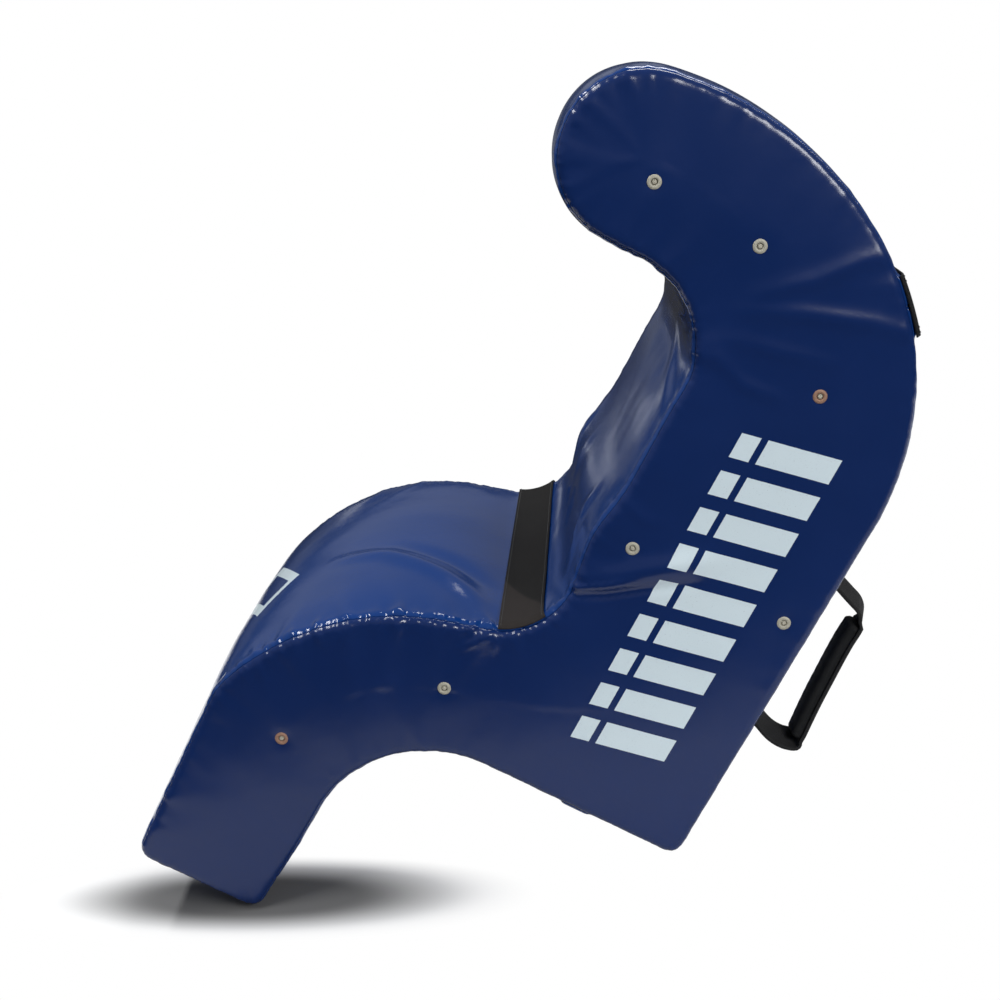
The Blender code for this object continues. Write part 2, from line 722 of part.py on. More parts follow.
# Places that several pieces share
SIDES = {"near": -1, "far": 1}
FOAM_INSET = COVER_THICKNESS + SEAM_GAP
EYELET_LIP_RADIUS = (EYELET_FLANGE + EYELET_BARREL) / 2
HANDLE_HIGH = BACK_HEIGHT - HANDLE_BELOW_SHOULDER
HANDLE_PIVOT = 3 * SEAM_GAP + ANCHOR_THICKNESS + math.hypot(HANDLE_NECK_TAIL, HANDLE_NECK_WIDTH / 2)
COIL_OUTER_FACE = COVER_THICKNESS - COIL_THICKNESS
SLIDER_INNER_FACE = FOAM_INSET + TAPE_THICKNESS + SLIDER_PLAY

# The outline, and the line on which the bag stands
OUTLINE = draw_outline()
HEEL_CENTRE = Vector((FOOT_LENGTH - LEG_REACH, -LEG_DROP))
HEEL_CENTRE += CORNER_RADIUS * Vector((-math.tan(math.radians(45 - SHIN_LEAN / 2)), 1.0))
ALONG_FLOOR = (Vector((-CORNER_RADIUS, CORNER_RADIUS)) - HEEL_CENTRE).normalized()
LEAN_ANGLE = math.atan2(ALONG_FLOOR.y, ALONG_FLOOR.x)
UPWARD = Vector((-ALONG_FLOOR.y, 0.0, ALONG_FLOOR.x))
HEEL_CONTACT = Vector((HEEL_CENTRE.x, 0.0, HEEL_CENTRE.y)) - UPWARD * CORNER_RADIUS

FOAM = make_foam()
make_side_panels()
GUSSETS = make_gussets()
make_eyelets()
cut_eyelet_pockets(FOAM)
for SIDE, SIGN in SIDES.items():
    make_handle(SIDE, SIGN)
make_zip(GUSSETS["gusset_arch"], FOAM["foam_torso"])
lean_on_edges()
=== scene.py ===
import functools
import json
import math

import bmesh
import bpy
import numpy as np
from mathutils import Matrix, Vector, noise
from mathutils.geometry import delaunay_2d_cdt


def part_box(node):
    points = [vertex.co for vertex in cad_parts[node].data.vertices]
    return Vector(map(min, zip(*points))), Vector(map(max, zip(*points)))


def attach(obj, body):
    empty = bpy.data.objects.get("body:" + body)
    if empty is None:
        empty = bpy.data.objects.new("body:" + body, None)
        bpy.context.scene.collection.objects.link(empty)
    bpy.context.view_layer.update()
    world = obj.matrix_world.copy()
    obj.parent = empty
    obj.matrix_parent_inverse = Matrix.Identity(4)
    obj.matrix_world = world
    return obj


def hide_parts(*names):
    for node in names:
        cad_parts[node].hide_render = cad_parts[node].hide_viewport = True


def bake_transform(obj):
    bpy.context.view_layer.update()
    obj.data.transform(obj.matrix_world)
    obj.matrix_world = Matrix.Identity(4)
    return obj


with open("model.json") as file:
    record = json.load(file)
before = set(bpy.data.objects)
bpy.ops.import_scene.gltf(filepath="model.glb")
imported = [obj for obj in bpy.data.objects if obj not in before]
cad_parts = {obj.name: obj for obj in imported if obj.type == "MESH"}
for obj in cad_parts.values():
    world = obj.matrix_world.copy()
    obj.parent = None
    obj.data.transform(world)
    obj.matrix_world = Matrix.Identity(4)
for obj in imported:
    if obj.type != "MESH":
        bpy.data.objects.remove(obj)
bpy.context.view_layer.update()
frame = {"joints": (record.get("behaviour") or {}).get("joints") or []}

# Camera: it stands at the bag's near side, at the height of the head, and looks a little down.
camera_data = bpy.data.cameras.new("camera")
camera_data.sensor_width = 36.0
camera_data.lens = 51.62
camera = bpy.data.objects.new("camera", camera_data)
bpy.context.scene.collection.objects.link(camera)
camera_right = Vector((0.98354, 0.05584, -0.17184))
camera_up = Vector((0.15006, 0.27721, 0.94902))
camera_turn = Matrix((camera_right, camera_up, camera_right.cross(camera_up))).transposed()
camera.matrix_world = Matrix.Translation((0.163, -1.640, 0.799)) @ camera_turn.to_4x4()
bpy.context.scene.camera = camera


# Floor and backdrop: a sheet of white paper on the dark floor of a dim hall, with a paler wall and a window
# far behind. The camera sees only white and the shadow under the foot, which a dark patch of the paper
# deepens as in the photograph; the glossy cloth mirrors the hall.
def maths(tree, operation, first, second=0.0):
    """A Math node of two numbers or sockets, and its result."""
    node = tree.nodes.new("ShaderNodeMath")
    node.operation = operation
    for socket, value in zip(node.inputs, (first, second)):
        if isinstance(value, (int, float)):
            socket.default_value = value
        else:
            tree.links.new(value, socket)
    return node.outputs[0]


def product(tree, *values):
    """The product of several numbers or sockets."""
    return functools.reduce(lambda first, second: maths(tree, "MULTIPLY", first, second), values)


def total(tree, *values):
    """The sum of several numbers or sockets."""
    return functools.reduce(lambda first, second: maths(tree, "ADD", first, second), values)


def less(tree, first, second):
    """One number or socket less another."""
    return maths(tree, "SUBTRACT", first, second)


def graded(tree, value, low, high):
    """A smooth step from 0 at the low value to 1 at the high one."""
    node = tree.nodes.new("ShaderNodeMapRange")
    node.interpolation_type = "SMOOTHSTEP"
    node.inputs["From Min"].default_value = low
    node.inputs["From Max"].default_value = high
    tree.links.new(value, node.inputs["Value"])
    return node.outputs["Result"]


def fading(tree, value, low, high):
    """A smooth step from 1 at the low value to 0 at the high one."""
    return less(tree, 1.0, graded(tree, value, low, high))


def banded(tree, value, low, high, fade=0.0001):
    """A mask of the values between two, with an edge of twice this fade."""
    rising = graded(tree, value, low - fade, low + fade)
    return product(tree, rising, fading(tree, value, high - fade, high + fade))


def mixed(tree, factor, first, second):
    """A colour between two, each given as a socket or as red, green and blue."""
    node = tree.nodes.new("ShaderNodeMix")
    node.data_type = "RGBA"
    tree.links.new(factor, node.inputs["Factor"])
    for label, colour in (("A", first), ("B", second)):
        if isinstance(colour, tuple):
            node.inputs[label].default_value = (*colour, 1.0)
        else:
            tree.links.new(colour, node.inputs[label])
    return node.outputs["Result"]


def split_vector(tree, vector):
    """The X, Y and Z sockets of a vector."""
    node = tree.nodes.new("ShaderNodeSeparateXYZ")
    tree.links.new(vector, node.inputs[0])
    return node.outputs["X"], node.outputs["Y"], node.outputs["Z"]


def located(tree, space):
    """The place that is shaded, in one of the texture spaces."""
    return tree.nodes.new("ShaderNodeTexCoord").outputs[space]


def ray_masks(tree):
    """The masks of the rays from the camera, and of those mirrored or bent by the bag."""
    rays = tree.nodes.new("ShaderNodeLightPath").outputs
    return rays["Is Camera Ray"], maths(tree, "MAXIMUM", rays["Is Glossy Ray"], rays["Is Transmission Ray"])


floor_reach, floor_drop = 9.0, 0.0005
paper_front, paper_back, paper_half, paper_fade = -0.55, 1.30, 1.45, 0.15
paper_white, hall_grey, paper_lift = (0.70, 0.70, 0.70), (0.05, 0.05, 0.05), 0.24
shadow_middle, shadow_turn, shadow_halves = (-0.335, -0.238), math.radians(-12.5), (0.198, 0.052)
shade_depth, shade_edge, shadow_edge = 0.77, (0.6, 1.5), (1.1, 1.7)
hall_floor_start, hall_floor_end, hall_floor_glow = 3.2, 3.45, 0.048
floor_mesh = bpy.data.meshes.new("floor")
floor_mesh.from_pydata(
    [(x * floor_reach, y * floor_reach, 0.0) for x, y in ((-1, -1), (1, -1), (1, 1), (-1, 1))],
    [],
    [(0, 1, 2, 3)],
)
floor = bpy.data.objects.new("floor", floor_mesh)
bpy.context.scene.collection.objects.link(floor)
floor.location.z = -floor_drop
floor_paint = bpy.data.materials.new("floor_paint")
floor_paint.use_nodes = True
tree = floor_paint.node_tree
tree.nodes.clear()
across_floor, along_floor, _ = split_vector(tree, located(tree, "Object"))
paper = product(
    tree,
    graded(tree, along_floor, paper_front - paper_fade, paper_front),
    fading(tree, along_floor, paper_back, paper_back + paper_fade),
    fading(tree, maths(tree, "ABSOLUTE", across_floor), paper_half, paper_half + paper_fade),
)
from_middle = [less(tree, axis, middle) for axis, middle in zip((across_floor, along_floor), shadow_middle)]
squares = []
for turn, half in zip((shadow_turn, shadow_turn + math.pi / 2), shadow_halves):
    shares = (math.cos(turn) / half, math.sin(turn) / half)
    reached = total(tree, *(product(tree, axis, share) for axis, share in zip(from_middle, shares)))
    squares.append(product(tree, reached, reached))
distance = maths(tree, "SQRT", total(tree, *squares))
shade = fading(tree, distance, *shade_edge)
far_off = maths(tree, "MAXIMUM", graded(tree, distance, *shadow_edge), less(tree, 1.0, paper))
seen, mirrored = ray_masks(tree)
hall_floor = graded(tree, along_floor, hall_floor_start, hall_floor_end)
matt = tree.nodes.new("ShaderNodeBsdfDiffuse")
lit = mixed(tree, paper, hall_grey, paper_white)
tree.links.new(mixed(tree, product(tree, shade, shade_depth), lit, (0.0, 0.0, 0.0)), matt.inputs["Color"])
lift = tree.nodes.new("ShaderNodeEmission")
lifts = product(tree, maths(tree, "MAXIMUM", seen, mirrored), paper, less(tree, 1.0, shade), paper_lift)
tree.links.new(lifts, lift.inputs["Strength"])
lifted = tree.nodes.new("ShaderNodeAddShader")
tree.links.new(matt.outputs[0], lifted.inputs[0])
tree.links.new(lift.outputs[0], lifted.inputs[1])
plain = tree.nodes.new("ShaderNodeEmission")
tree.links.new(total(tree, seen, product(tree, mirrored, hall_floor_glow)), plain.inputs["Strength"])
both = tree.nodes.new("ShaderNodeMixShader")
shows_plain = total(tree, product(tree, seen, far_off), product(tree, mirrored, hall_floor))
tree.links.new(shows_plain, both.inputs[0])
tree.links.new(lifted.outputs[0], both.inputs[1])
tree.links.new(plain.outputs[0], both.inputs[2])
output = tree.nodes.new("ShaderNodeOutputMaterial")
tree.links.new(both.outputs[0], output.inputs["Surface"])
floor_mesh.materials.append(floor_paint)

room_white, room_light, gap_glow = (0.93, 0.96, 1.0, 1.0), 0.26, 0.03
wall_edge, wall_glow = (0.035, 0.047), 0.115
ceiling_edge, ceiling_glow = (0.125, 0.145), 0.25
window_sides, window_heights, window_fade, window_glow = (-0.288, -0.246), (-0.030, -0.004), 0.006, 0.85
world = bpy.data.worlds.new("studio")
bpy.context.scene.world = world
world.use_nodes = True
tree = world.node_tree
tree.nodes.clear()
aside, ahead, above = split_vector(tree, located(tree, "Generated"))
seen, mirrored = ray_masks(tree)
window = product(
    tree,
    maths(tree, "GREATER_THAN", ahead, 0.0),
    banded(tree, aside, *window_sides, window_fade),
    banded(tree, above, *window_heights, window_fade),
    window_glow,
)
wall = product(tree, fading(tree, above, *wall_edge), wall_glow)
ceiling = product(tree, graded(tree, above, *ceiling_edge), ceiling_glow)
hall = total(tree, wall, ceiling, window, gap_glow)
room = tree.nodes.new("ShaderNodeBackground")
room.inputs["Color"].default_value = room_white
unseen = less(tree, 1.0, maths(tree, "MAXIMUM", seen, mirrored))
glow = total(tree, product(tree, mirrored, hall), product(tree, unseen, room_light))
tree.links.new(glow, room.inputs["Strength"])
sweep = tree.nodes.new("ShaderNodeBackground")
sweep.inputs["Color"].default_value = (1.0, 1.0, 1.0, 1.0)
sweep.inputs["Strength"].default_value = 1.0
choose = tree.nodes.new("ShaderNodeMixShader")
tree.links.new(seen, choose.inputs[0])
tree.links.new(room.outputs[0], choose.inputs[1])
tree.links.new(sweep.outputs[0], choose.inputs[2])
output = tree.nodes.new("ShaderNodeOutputWorld")
tree.links.new(choose.outputs[0], output.inputs["Surface"])


# Lamps: a long narrow one overhead, which draws the bright ticks along the gathered seams, a long one
# behind that rims the crown and the shoulder, and a softer one to the right of the camera.
def softbox(name, place, aim, size, power):
    """A rectangular lamp of this size that faces the aim."""
    lamp = bpy.data.lights.new(name, "AREA")
    lamp.shape = "RECTANGLE"
    lamp.size, lamp.size_y = size
    lamp.energy = power
    made = bpy.data.objects.new(name, lamp)
    bpy.context.scene.collection.objects.link(made)
    made.location = place
    made.rotation_euler = (Vector(aim) - Vector(place)).to_track_quat("-Z", "Y").to_euler()


bag_middle = (0.0, 0.0, 0.40)
softbox("key_lamp", (-0.95, -0.35, 2.5), (0.0, -0.35, 0.40), (2.2, 0.26), 48.0)
softbox("rim_lamp", (0.9, 1.2, 2.4), bag_middle, (1.6, 0.5), 26.0)
softbox("fill_lamp", (1.7, -2.4, 1.5), bag_middle, (1.2, 0.7), 58.0)

# Side outline: the bag's profile, drawn upright with x = 0 on the back, x falling towards the leg
# and z = 0 on the base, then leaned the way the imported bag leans. Sizes are the cover's outside.
bag_width = 0.530
edge_radius = 0.013
torso_thickness = 0.2455
back_height = 0.416
corner_radius = 0.018
ground_gap = 0.0004
leg_reach = 0.528
outline_step = 0.001


def walk_outline():
    """The outline's points and headings every millimetre, and each stretch's start and end along it."""
    points = [np.array((-corner_radius, 0.0))]
    headings = [0.0]
    stretches = {}

    def run(name, length, turn=0.0):
        count = max(2, round(length / outline_step))
        start = len(points) - 1.0
        first = headings[-1]
        for i in range(count):
            headings.append(first + turn * (i + 1) / count)
            middle = math.radians(first + turn * (i + 0.5) / count)
            step = length / count * (1.0 - (math.radians(turn) / count) ** 2 / 24)
            points.append(points[-1] + step * np.array((math.cos(middle), math.sin(middle))))
        stretches[name] = (start, len(points) - 1.0)

    def arc(name, radius, turn):
        run(name, radius * abs(math.radians(turn)), turn)

    shoulder_radius, shoulder_turn, crown_turn = 0.298, 56.0, 45.0
    nose_radius, nose_overhang, crook_radius = 0.086, 0.131, 0.0885
    lap_height, lap_radius = 0.160, 0.073
    thigh_slope, thigh_turn, knee_radius = 11.6, 55.4, 0.088
    leg_drop, foot_length, shin_lean, arch_radius = 0.275, 0.153, 4.0, 0.133
    cos_shoulder = math.cos(math.radians(shoulder_turn))
    cos_crown = math.cos(math.radians(shoulder_turn + crown_turn))
    head_reach = torso_thickness + nose_overhang - shoulder_radius * (1 - cos_shoulder)
    crown_radius = (head_reach - nose_radius * cos_crown) / (cos_shoulder - cos_crown)
    arc("base_corner", corner_radius, 90)
    run("back", back_height - corner_radius)
    arc("shoulder", shoulder_radius, shoulder_turn)
    arc("crown", crown_radius, crown_turn)
    arc("nose", nose_radius, 270 - shoulder_turn - crown_turn)
    underside = points[-1][1]
    run("underside", nose_overhang - crook_radius)
    arc("crook", crook_radius, -90)
    lap_turn = 90 - thigh_slope
    lap_tangent = lap_radius * math.tan(math.radians(lap_turn / 2))
    run("inner", underside - crook_radius - lap_height - lap_tangent)
    arc("lap", lap_radius, -lap_turn)
    knee_rise = math.sin(math.radians(thigh_slope + thigh_turn))
    thigh_run = leg_reach + points[-1][0] - knee_radius * (1 - knee_rise)
    arc("thigh", thigh_run / (knee_rise - math.sin(math.radians(thigh_slope))), thigh_turn)
    arc("knee", knee_radius, 90 - thigh_slope - thigh_turn)
    run("shin", points[-1][1] + leg_drop - corner_radius)
    arc("toe", corner_radius, 90)
    heel_turn = 90 - shin_lean
    heel_tangent = corner_radius * math.tan(math.radians(heel_turn / 2))
    run("sole", foot_length - corner_radius - heel_tangent)
    arc("heel", corner_radius, heel_turn)
    lean = math.radians(shin_lean)
    arch_start = -arch_radius * (1 - math.sin(lean))
    run("calf", (arch_start - points[-1][1]) / math.cos(lean))
    arc("arch", arch_radius, -heel_turn)
    run("base", -corner_radius - points[-1][0])
    return np.array(points[:-1]), np.radians(headings[:-1]), stretches


def softened(values, reach):
    """Values round the closed outline, smoothed over this many steps."""
    around = np.arange(-3 * reach, 3 * reach + 1)
    weights = np.exp(-((around / reach) ** 2) / 2)
    weights /= weights.sum()
    return sum(w * np.roll(values, k, axis=0) for w, k in zip(weights, around))


outline_points, outline_headings, stretches = walk_outline()
outline_points = softened(outline_points, 5)
outward = np.stack((np.sin(outline_headings), -np.cos(outline_headings)), axis=1)
outward = softened(outward, 6)
outward /= np.linalg.norm(outward, axis=1)[:, None]
around = np.arange(len(outline_points), dtype=float)


def along(name, share):
    """The place along the outline, in steps, at this share of a stretch."""
    start, end = stretches[name]
    return start + share * (end - start)


def past(places, middle):
    """How far places lie past one place, the shorter way round the closed outline."""
    return (places - middle + len(around) / 2) % len(around) - len(around) / 2


def hump(middle, reach):
    """A smooth hump of height 1 along the outline, about a place on it."""
    return np.exp(-((past(around, middle) / reach) ** 2))


# The stuffed torso pushes the cover out over the lap, and the foam fills the leg's top and its rear.
outline_points = outline_points + outward * (
    0.0085 * hump(along("inner", 0.74), 40)
    - 0.0022 * hump(along("thigh", 0.10), 60)
    + 0.0020 * hump(along("thigh", 0.45), 90)
    - 0.0022 * hump(along("crook", 0.9), 30)
    + 0.0018 * hump(along("calf", 0.5), 60)
)[:, None]

swing = frame["joints"][0]
lean_angle = math.atan2(swing["axis"][0], swing["axis"][2])
handle_pivot, handle_low = 0.012044, 0.160
back_normal = Vector((math.cos(lean_angle), 0.0, -math.sin(lean_angle)))
upright_origin = Vector((swing["pos_m"][0], 0.0, swing["pos_m"][2]))
upright_origin -= handle_pivot * back_normal + handle_low * Vector(swing["axis"])
upright = Matrix.Translation(upright_origin) @ Matrix.Rotation(lean_angle, 4, "Y")


def leaned(points):
    """Points of the upright bag, as they lie in the standing bag."""
    turn = np.array(upright.to_3x3())
    return np.asarray(points) @ turn.T + np.array(upright_origin)


def settled(points):
    """Points of the upright bag, as they lie in the standing bag with its edges on the floor."""
    standing = leaned(points)
    standing[:, 2] = np.maximum(standing[:, 2], ground_gap)
    return standing


def wrapped(values, places):
    """Values of the outline at any places along it."""
    count = len(around)
    places = np.asarray(places, float) % count
    low = np.floor(places).astype(int) % count
    share = places - np.floor(places)
    if values.ndim == 2:
        share = share[:, None]
    return values[low] * (1 - share) + values[(low + 1) % count] * share


def along_stretches(amounts, reach):
    """One amount for each stretch of the outline, smoothed over this many steps."""
    values = np.zeros(len(around))
    for name, (start, end) in stretches.items():
        values[int(start):int(end)] = amounts[name]
    return softened(values, reach)


# Cover cloth: PVC-coated polyester, sewn inside out and turned, so each seam lies in a groove and its
# thread gathers the cloth into small folds. The gathers are strongest over the leg and in the crook.
seam_turn = math.radians(48.0)
groove_depth, groove_reach = 0.0016, 2.4
weave_height, peel_height, mark_strength = 0.000012, 0.00022, 2.2
ink_raggedness, ink_wear, ink_dullness, ink_height = 0.0007, 0.35, 0.10, 0.00006
gusset_half = bag_width / 2 - edge_radius + edge_radius * seam_turn
gather_strength = {
    "base_corner": 0.6, "back": 0.30, "shoulder": 0.45, "crown": 0.55, "nose": 1.0, "underside": 1.0,
    "crook": 1.2, "inner": 0.70, "lap": 1.5, "thigh": 1.5, "knee": 1.0, "shin": 0.55, "toe": 0.8,
    "sole": 0.5, "heel": 0.8, "calf": 0.45, "arch": 0.55, "base": 0.35,
}
strength_along = along_stretches(gather_strength, 22)


def sewn_folds(seed, tightness):
    """The folds that one seam gathers: place, half width, reach, height and slant, one row each."""
    draw = np.random.default_rng(seed)
    rows = []
    for pitch, widths, reaches, heights in (
        (8.0, (1.7, 2.5), (8.0, 15.0), (0.65, 1.25)),
        (5.5, (1.2, 2.0), (3.0, 7.0), (0.20, 0.50)),
        (23.0, (2.8, 5.0), (14.0, 34.0), (0.45, 1.10)),
        (62.0, (6.0, 11.0), (35.0, 95.0), (0.7, 1.5)),
    ):
        place = draw.uniform(0, pitch)
        while place < len(around):
            strength = strength_along[int(place)]
            rows.append(
                (
                    place,
                    draw.uniform(*widths),
                    draw.uniform(*reaches) * (0.6 + 0.4 * strength),
                    draw.uniform(*heights) * strength * tightness,
                    draw.uniform(-0.45, 0.45),
                )
            )
            place += pitch * draw.uniform(0.70, 1.30)
    return np.array(rows)


def gathered(folds, places, away):
    """Height in metres of the gathers at places along the outline and millimetres away from the seam."""
    height = np.zeros(len(places))
    for place, width, reach, rise, slant in folds:
        offset = past(places, place)
        inside = (np.abs(offset) < 4 * width + 0.5 * reach) & (away < 2.6 * reach)
        if not inside.any():
            continue
        q = away[inside]
        spread = width * (1 + q / reach)
        shape = np.exp(-(((offset[inside] - slant * q) / spread) ** 2))
        sewn_low = 0.45 + 0.55 * (1 - np.exp(-q / 3))
        height[inside] += 0.001 * rise * shape * np.exp(-((q / reach) ** 1.5)) * sewn_low
    return height


def seam_groove(away):
    """Depth of the groove that a turned seam lies in."""
    return -groove_depth * np.exp(-np.abs(away) / groove_reach)


def rippled(points, size, seed):
    """Smooth noise from -1 to 1 at each point, with waves of about this size in metres."""
    shift = Vector((seed * 3.7, seed * 1.3, seed * 2.1))
    return np.array([noise.noise(Vector(p) / size + shift) for p in points])


def creased(points, path, width, height):
    """Height of one fold along a path of points, fading to nothing at its ends."""
    path = np.array(path, float)
    lengths = np.linalg.norm(np.diff(path, axis=0), axis=1)
    total = lengths.sum()
    before = 0.0
    nearest = np.full(len(points), 1e9)
    share = np.zeros(len(points))
    for start, end, length in zip(path, path[1:], lengths):
        t = np.clip((points - start) @ (end - start) / length**2, 0, 1)
        distance = np.linalg.norm(points - start - t[:, None] * (end - start), axis=1)
        closer = distance < nearest
        nearest = np.where(closer, distance, nearest)
        share = np.where(closer, (before + t * length) / total, share)
        before += length
    taper = np.clip(np.sin(math.pi * np.clip(0.04 + 0.92 * share, 0, 1)), 0, 1) ** 0.7
    return height * taper * np.exp(-((nearest / width) ** 2))


def cloth_grain():
    """A node group with the cloth's fine relief, its handling marks, its uneven colour and fine specks."""
    group = bpy.data.node_groups.new("coated_cloth_grain", "ShaderNodeTree")
    for label, kind, value in (
        ("Thread Pitch", "NodeSocketFloat", 0.0011),
        ("Peel Size", "NodeSocketFloat", 0.014),
    ):
        socket = group.interface.new_socket(label, in_out="INPUT", socket_type=kind)
        socket.default_value = value
    for label in ("Relief", "Marks", "Tone", "Specks"):
        group.interface.new_socket(label, in_out="OUTPUT", socket_type="NodeSocketFloat")
    inside = group.nodes.new("NodeGroupInput").outputs
    outside = group.nodes.new("NodeGroupOutput").inputs
    cloth_map = group.nodes.new("ShaderNodeUVMap")
    cloth_map.uv_map = "cloth"
    place = located(group, "Object")
    threads = []
    for axis in split_vector(group, cloth_map.outputs[0])[:2]:
        phase = maths(group, "DIVIDE", axis, inside["Thread Pitch"])
        threads.append(maths(group, "SINE", product(group, phase, 2 * math.pi)))
    weave = product(group, maths(group, "MAXIMUM", *threads), weave_height)

    def cloudy(size, detail, rough=0.5):
        """Soft noise with clouds of about this size."""
        scaled = group.nodes.new("ShaderNodeVectorMath")
        scaled.operation = "SCALE"
        group.links.new(place, scaled.inputs[0])
        group.links.new(maths(group, "DIVIDE", 1.0, size), scaled.inputs["Scale"])
        texture = group.nodes.new("ShaderNodeTexNoise")
        texture.inputs["Scale"].default_value = 1.0
        texture.inputs["Detail"].default_value = detail
        texture.inputs["Roughness"].default_value = rough
        group.links.new(scaled.outputs[0], texture.inputs["Vector"])
        return texture.outputs[0]

    peel = product(group, cloudy(inside["Peel Size"], 2.0), peel_height)
    group.links.new(total(group, weave, peel), outside["Relief"])
    smear = product(group, cloudy(0.055, 5.0, 0.62), cloudy(0.21, 2.0), mark_strength)
    group.links.new(smear, outside["Marks"])
    group.links.new(cloudy(0.11, 3.0), outside["Tone"])
    group.links.new(cloudy(0.0016, 3.0, 0.7), outside["Specks"])
    return group


grain = cloth_grain()


def painted(name):
    """A new material, with its node tree and its shader."""
    made = bpy.data.materials.new(name)
    made.use_nodes = True
    return made, made.node_tree, made.node_tree.nodes["Principled BSDF"]


def ranged(tree, value, low, high):
    """A value from 0 to 1 spread from low to high."""
    node = tree.nodes.new("ShaderNodeMapRange")
    node.inputs["To Min"].default_value = low
    node.inputs["To Max"].default_value = high
    tree.links.new(value, node.inputs["Value"])
    return node.outputs["Result"]


def raised_by(tree, shader, relief, depth, strength=1.0):
    """Gives a shader the fine relief of a value, at this depth in metres."""
    bump = tree.nodes.new("ShaderNodeBump")
    bump.inputs["Distance"].default_value = depth
    bump.inputs["Strength"].default_value = strength
    tree.links.new(relief, bump.inputs["Height"])
    tree.links.new(bump.outputs["Normal"], shader.inputs["Normal"])


def cover_paint(name, deep, pale, roughness, motif=None):
    """Coated cloth between two blues, uneven in colour and gloss, with a white motif printed on it."""
    made, tree, shader = painted(name)
    shader.inputs["IOR"].default_value = 1.40
    effect = tree.nodes.new("ShaderNodeGroup")
    effect.node_tree = grain
    grain_of = effect.outputs
    finish = mixed(tree, grain_of["Tone"], deep, pale)
    dullness = ranged(tree, grain_of["Marks"], roughness - 0.04, roughness + 0.07)
    relief = grain_of["Relief"]
    if motif:
        cloth_map = tree.nodes.new("ShaderNodeUVMap")
        cloth_map.uv_map = "cloth"
        ragged = product(tree, less(tree, grain_of["Specks"], 0.5), ink_raggedness)
        places = [total(tree, axis, ragged) for axis in split_vector(tree, cloth_map.outputs[0])[:2]]
        worn = product(tree, graded(tree, grain_of["Specks"], 0.60, 0.78), ink_wear)
        ink = product(tree, motif(tree, *places), less(tree, 1.0, worn))
        finish = mixed(tree, ink, finish, print_white)
        dullness = total(tree, dullness, product(tree, ink, ink_dullness))
        relief = total(tree, relief, product(tree, ink, ink_height))
    tree.links.new(finish, shader.inputs["Base Color"])
    tree.links.new(dullness, shader.inputs["Roughness"])
    raised_by(tree, shader, relief, 1.0, 0.55)
    return made


print_white = (0.60, 0.70, 0.75)
print_left, print_right = -0.1695, -0.0695
print_low, print_high = 0.0788, 0.4648
print_bars, print_slant, print_share = 9, 0.20, 0.64
print_gap = (-0.1500, -0.1430)


def slanted_bars(tree, across, up):
    """A ladder of slanted bars up the torso, split by one narrow gap near its front."""
    rise = print_slant * (print_right - print_left)
    pitch = (print_high - print_low - rise) / (print_bars - 1 + print_share)
    level = less(tree, up, product(tree, less(tree, across, print_left), print_slant))
    steps = maths(tree, "DIVIDE", less(tree, level, print_low), pitch)
    within = product(tree, maths(tree, "FRACT", steps), pitch)
    bars = product(tree, banded(tree, within, 0.0, print_share * pitch), banded(tree, steps, 0.0, print_bars))
    wide = less(tree, banded(tree, across, print_left, print_right), banded(tree, across, *print_gap))
    return product(tree, bars, wide)


side_blues, side_roughness = ((0.0040, 0.0168, 0.084), (0.0050, 0.0205, 0.102)), 0.19
side_blue = cover_paint("side_cloth", *side_blues, side_roughness)
printed_side_blue = cover_paint("printed_side_cloth", *side_blues, side_roughness, slanted_bars)
# The gussets are the same cloth as the side panels. Their lighter blues are painted light, standing in for
# the light that falls from above on the bag's top and edges.
gusset_painted_light_blues, gusset_roughness = ((0.0044, 0.0285, 0.134), (0.0056, 0.0350, 0.168)), 0.09
gusset_painted_light_blue = cover_paint("gusset_painted_light_cloth", *gusset_painted_light_blues, gusset_roughness)


def mesh_of(name, points, faces, cloth_map=None):
    """A mesh of points and faces, with its flat pattern as its map."""
    mesh = bpy.data.meshes.new(name)
    mesh.from_pydata([tuple(p) for p in points], [], faces)
    if cloth_map is not None:
        layer = mesh.uv_layers.new(name="cloth")
        corners = np.zeros(len(mesh.loops), np.int32)
        mesh.loops.foreach_get("vertex_index", corners)
        layer.data.foreach_set("uv", np.asarray(cloth_map, np.float32)[corners].ravel())
    return mesh


def shown(name, mesh, paint, crease=None):
    """A smooth object of a mesh, with sharp edges where its faces turn by more than a crease's degrees."""
    mesh.materials.append(paint)
    mesh.shade_smooth()
    if crease:
        mesh.set_sharp_from_angle(angle=math.radians(crease))
    made = bpy.data.objects.new(name, mesh)
    bpy.context.scene.collection.objects.link(made)
    return made


def cloth_piece(name, points, faces, cloth_map, paint):
    """A smooth sheet of cloth with its flat pattern as its map, riding on the bag."""
    made = shown(name, mesh_of(name, points, faces, cloth_map), paint)
    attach(made, "root")
    return made


# Side panels: one flat cut of cover cloth each side, crowned a little by the foam. It takes the outer
# part of the rounded edge, down to the seam. Long creases run from the crook and from the lap.
panel_crown, crown_reach = 0.0035, 45.0
panel_ripples, ripple_start = ((0.0013, 0.16), (0.0006, 0.055)), 12.0
eyelet_dimple, dimple_reach = 0.0009, 0.009
ring_insets = (-0.0008, 0.0, 0.0009, 0.0020, 0.0033, 0.0050, 0.0072, 0.0100)
turned_depth = 0.0045
grid_pitch = 0.0045
hole_radius, hole_rings = 0.0043, ((20, 0.0043), (24, 0.0058), (26, 0.0076), (28, 0.0100))
eyelet_places = {}
for label in ("nose", "crown", "shoulder", "chest", "back", "thigh", "shin"):
    low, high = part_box(f"eyelet_near_{label}")
    middle = upright.inverted() @ ((Vector(low) + Vector(high)) / 2)
    eyelet_places[label] = (middle.x, middle.z)
hole_middles = np.array(list(eyelet_places.values()))
side_folds = {"near": sewn_folds(11, 1.0), "far": sewn_folds(23, 0.65)}
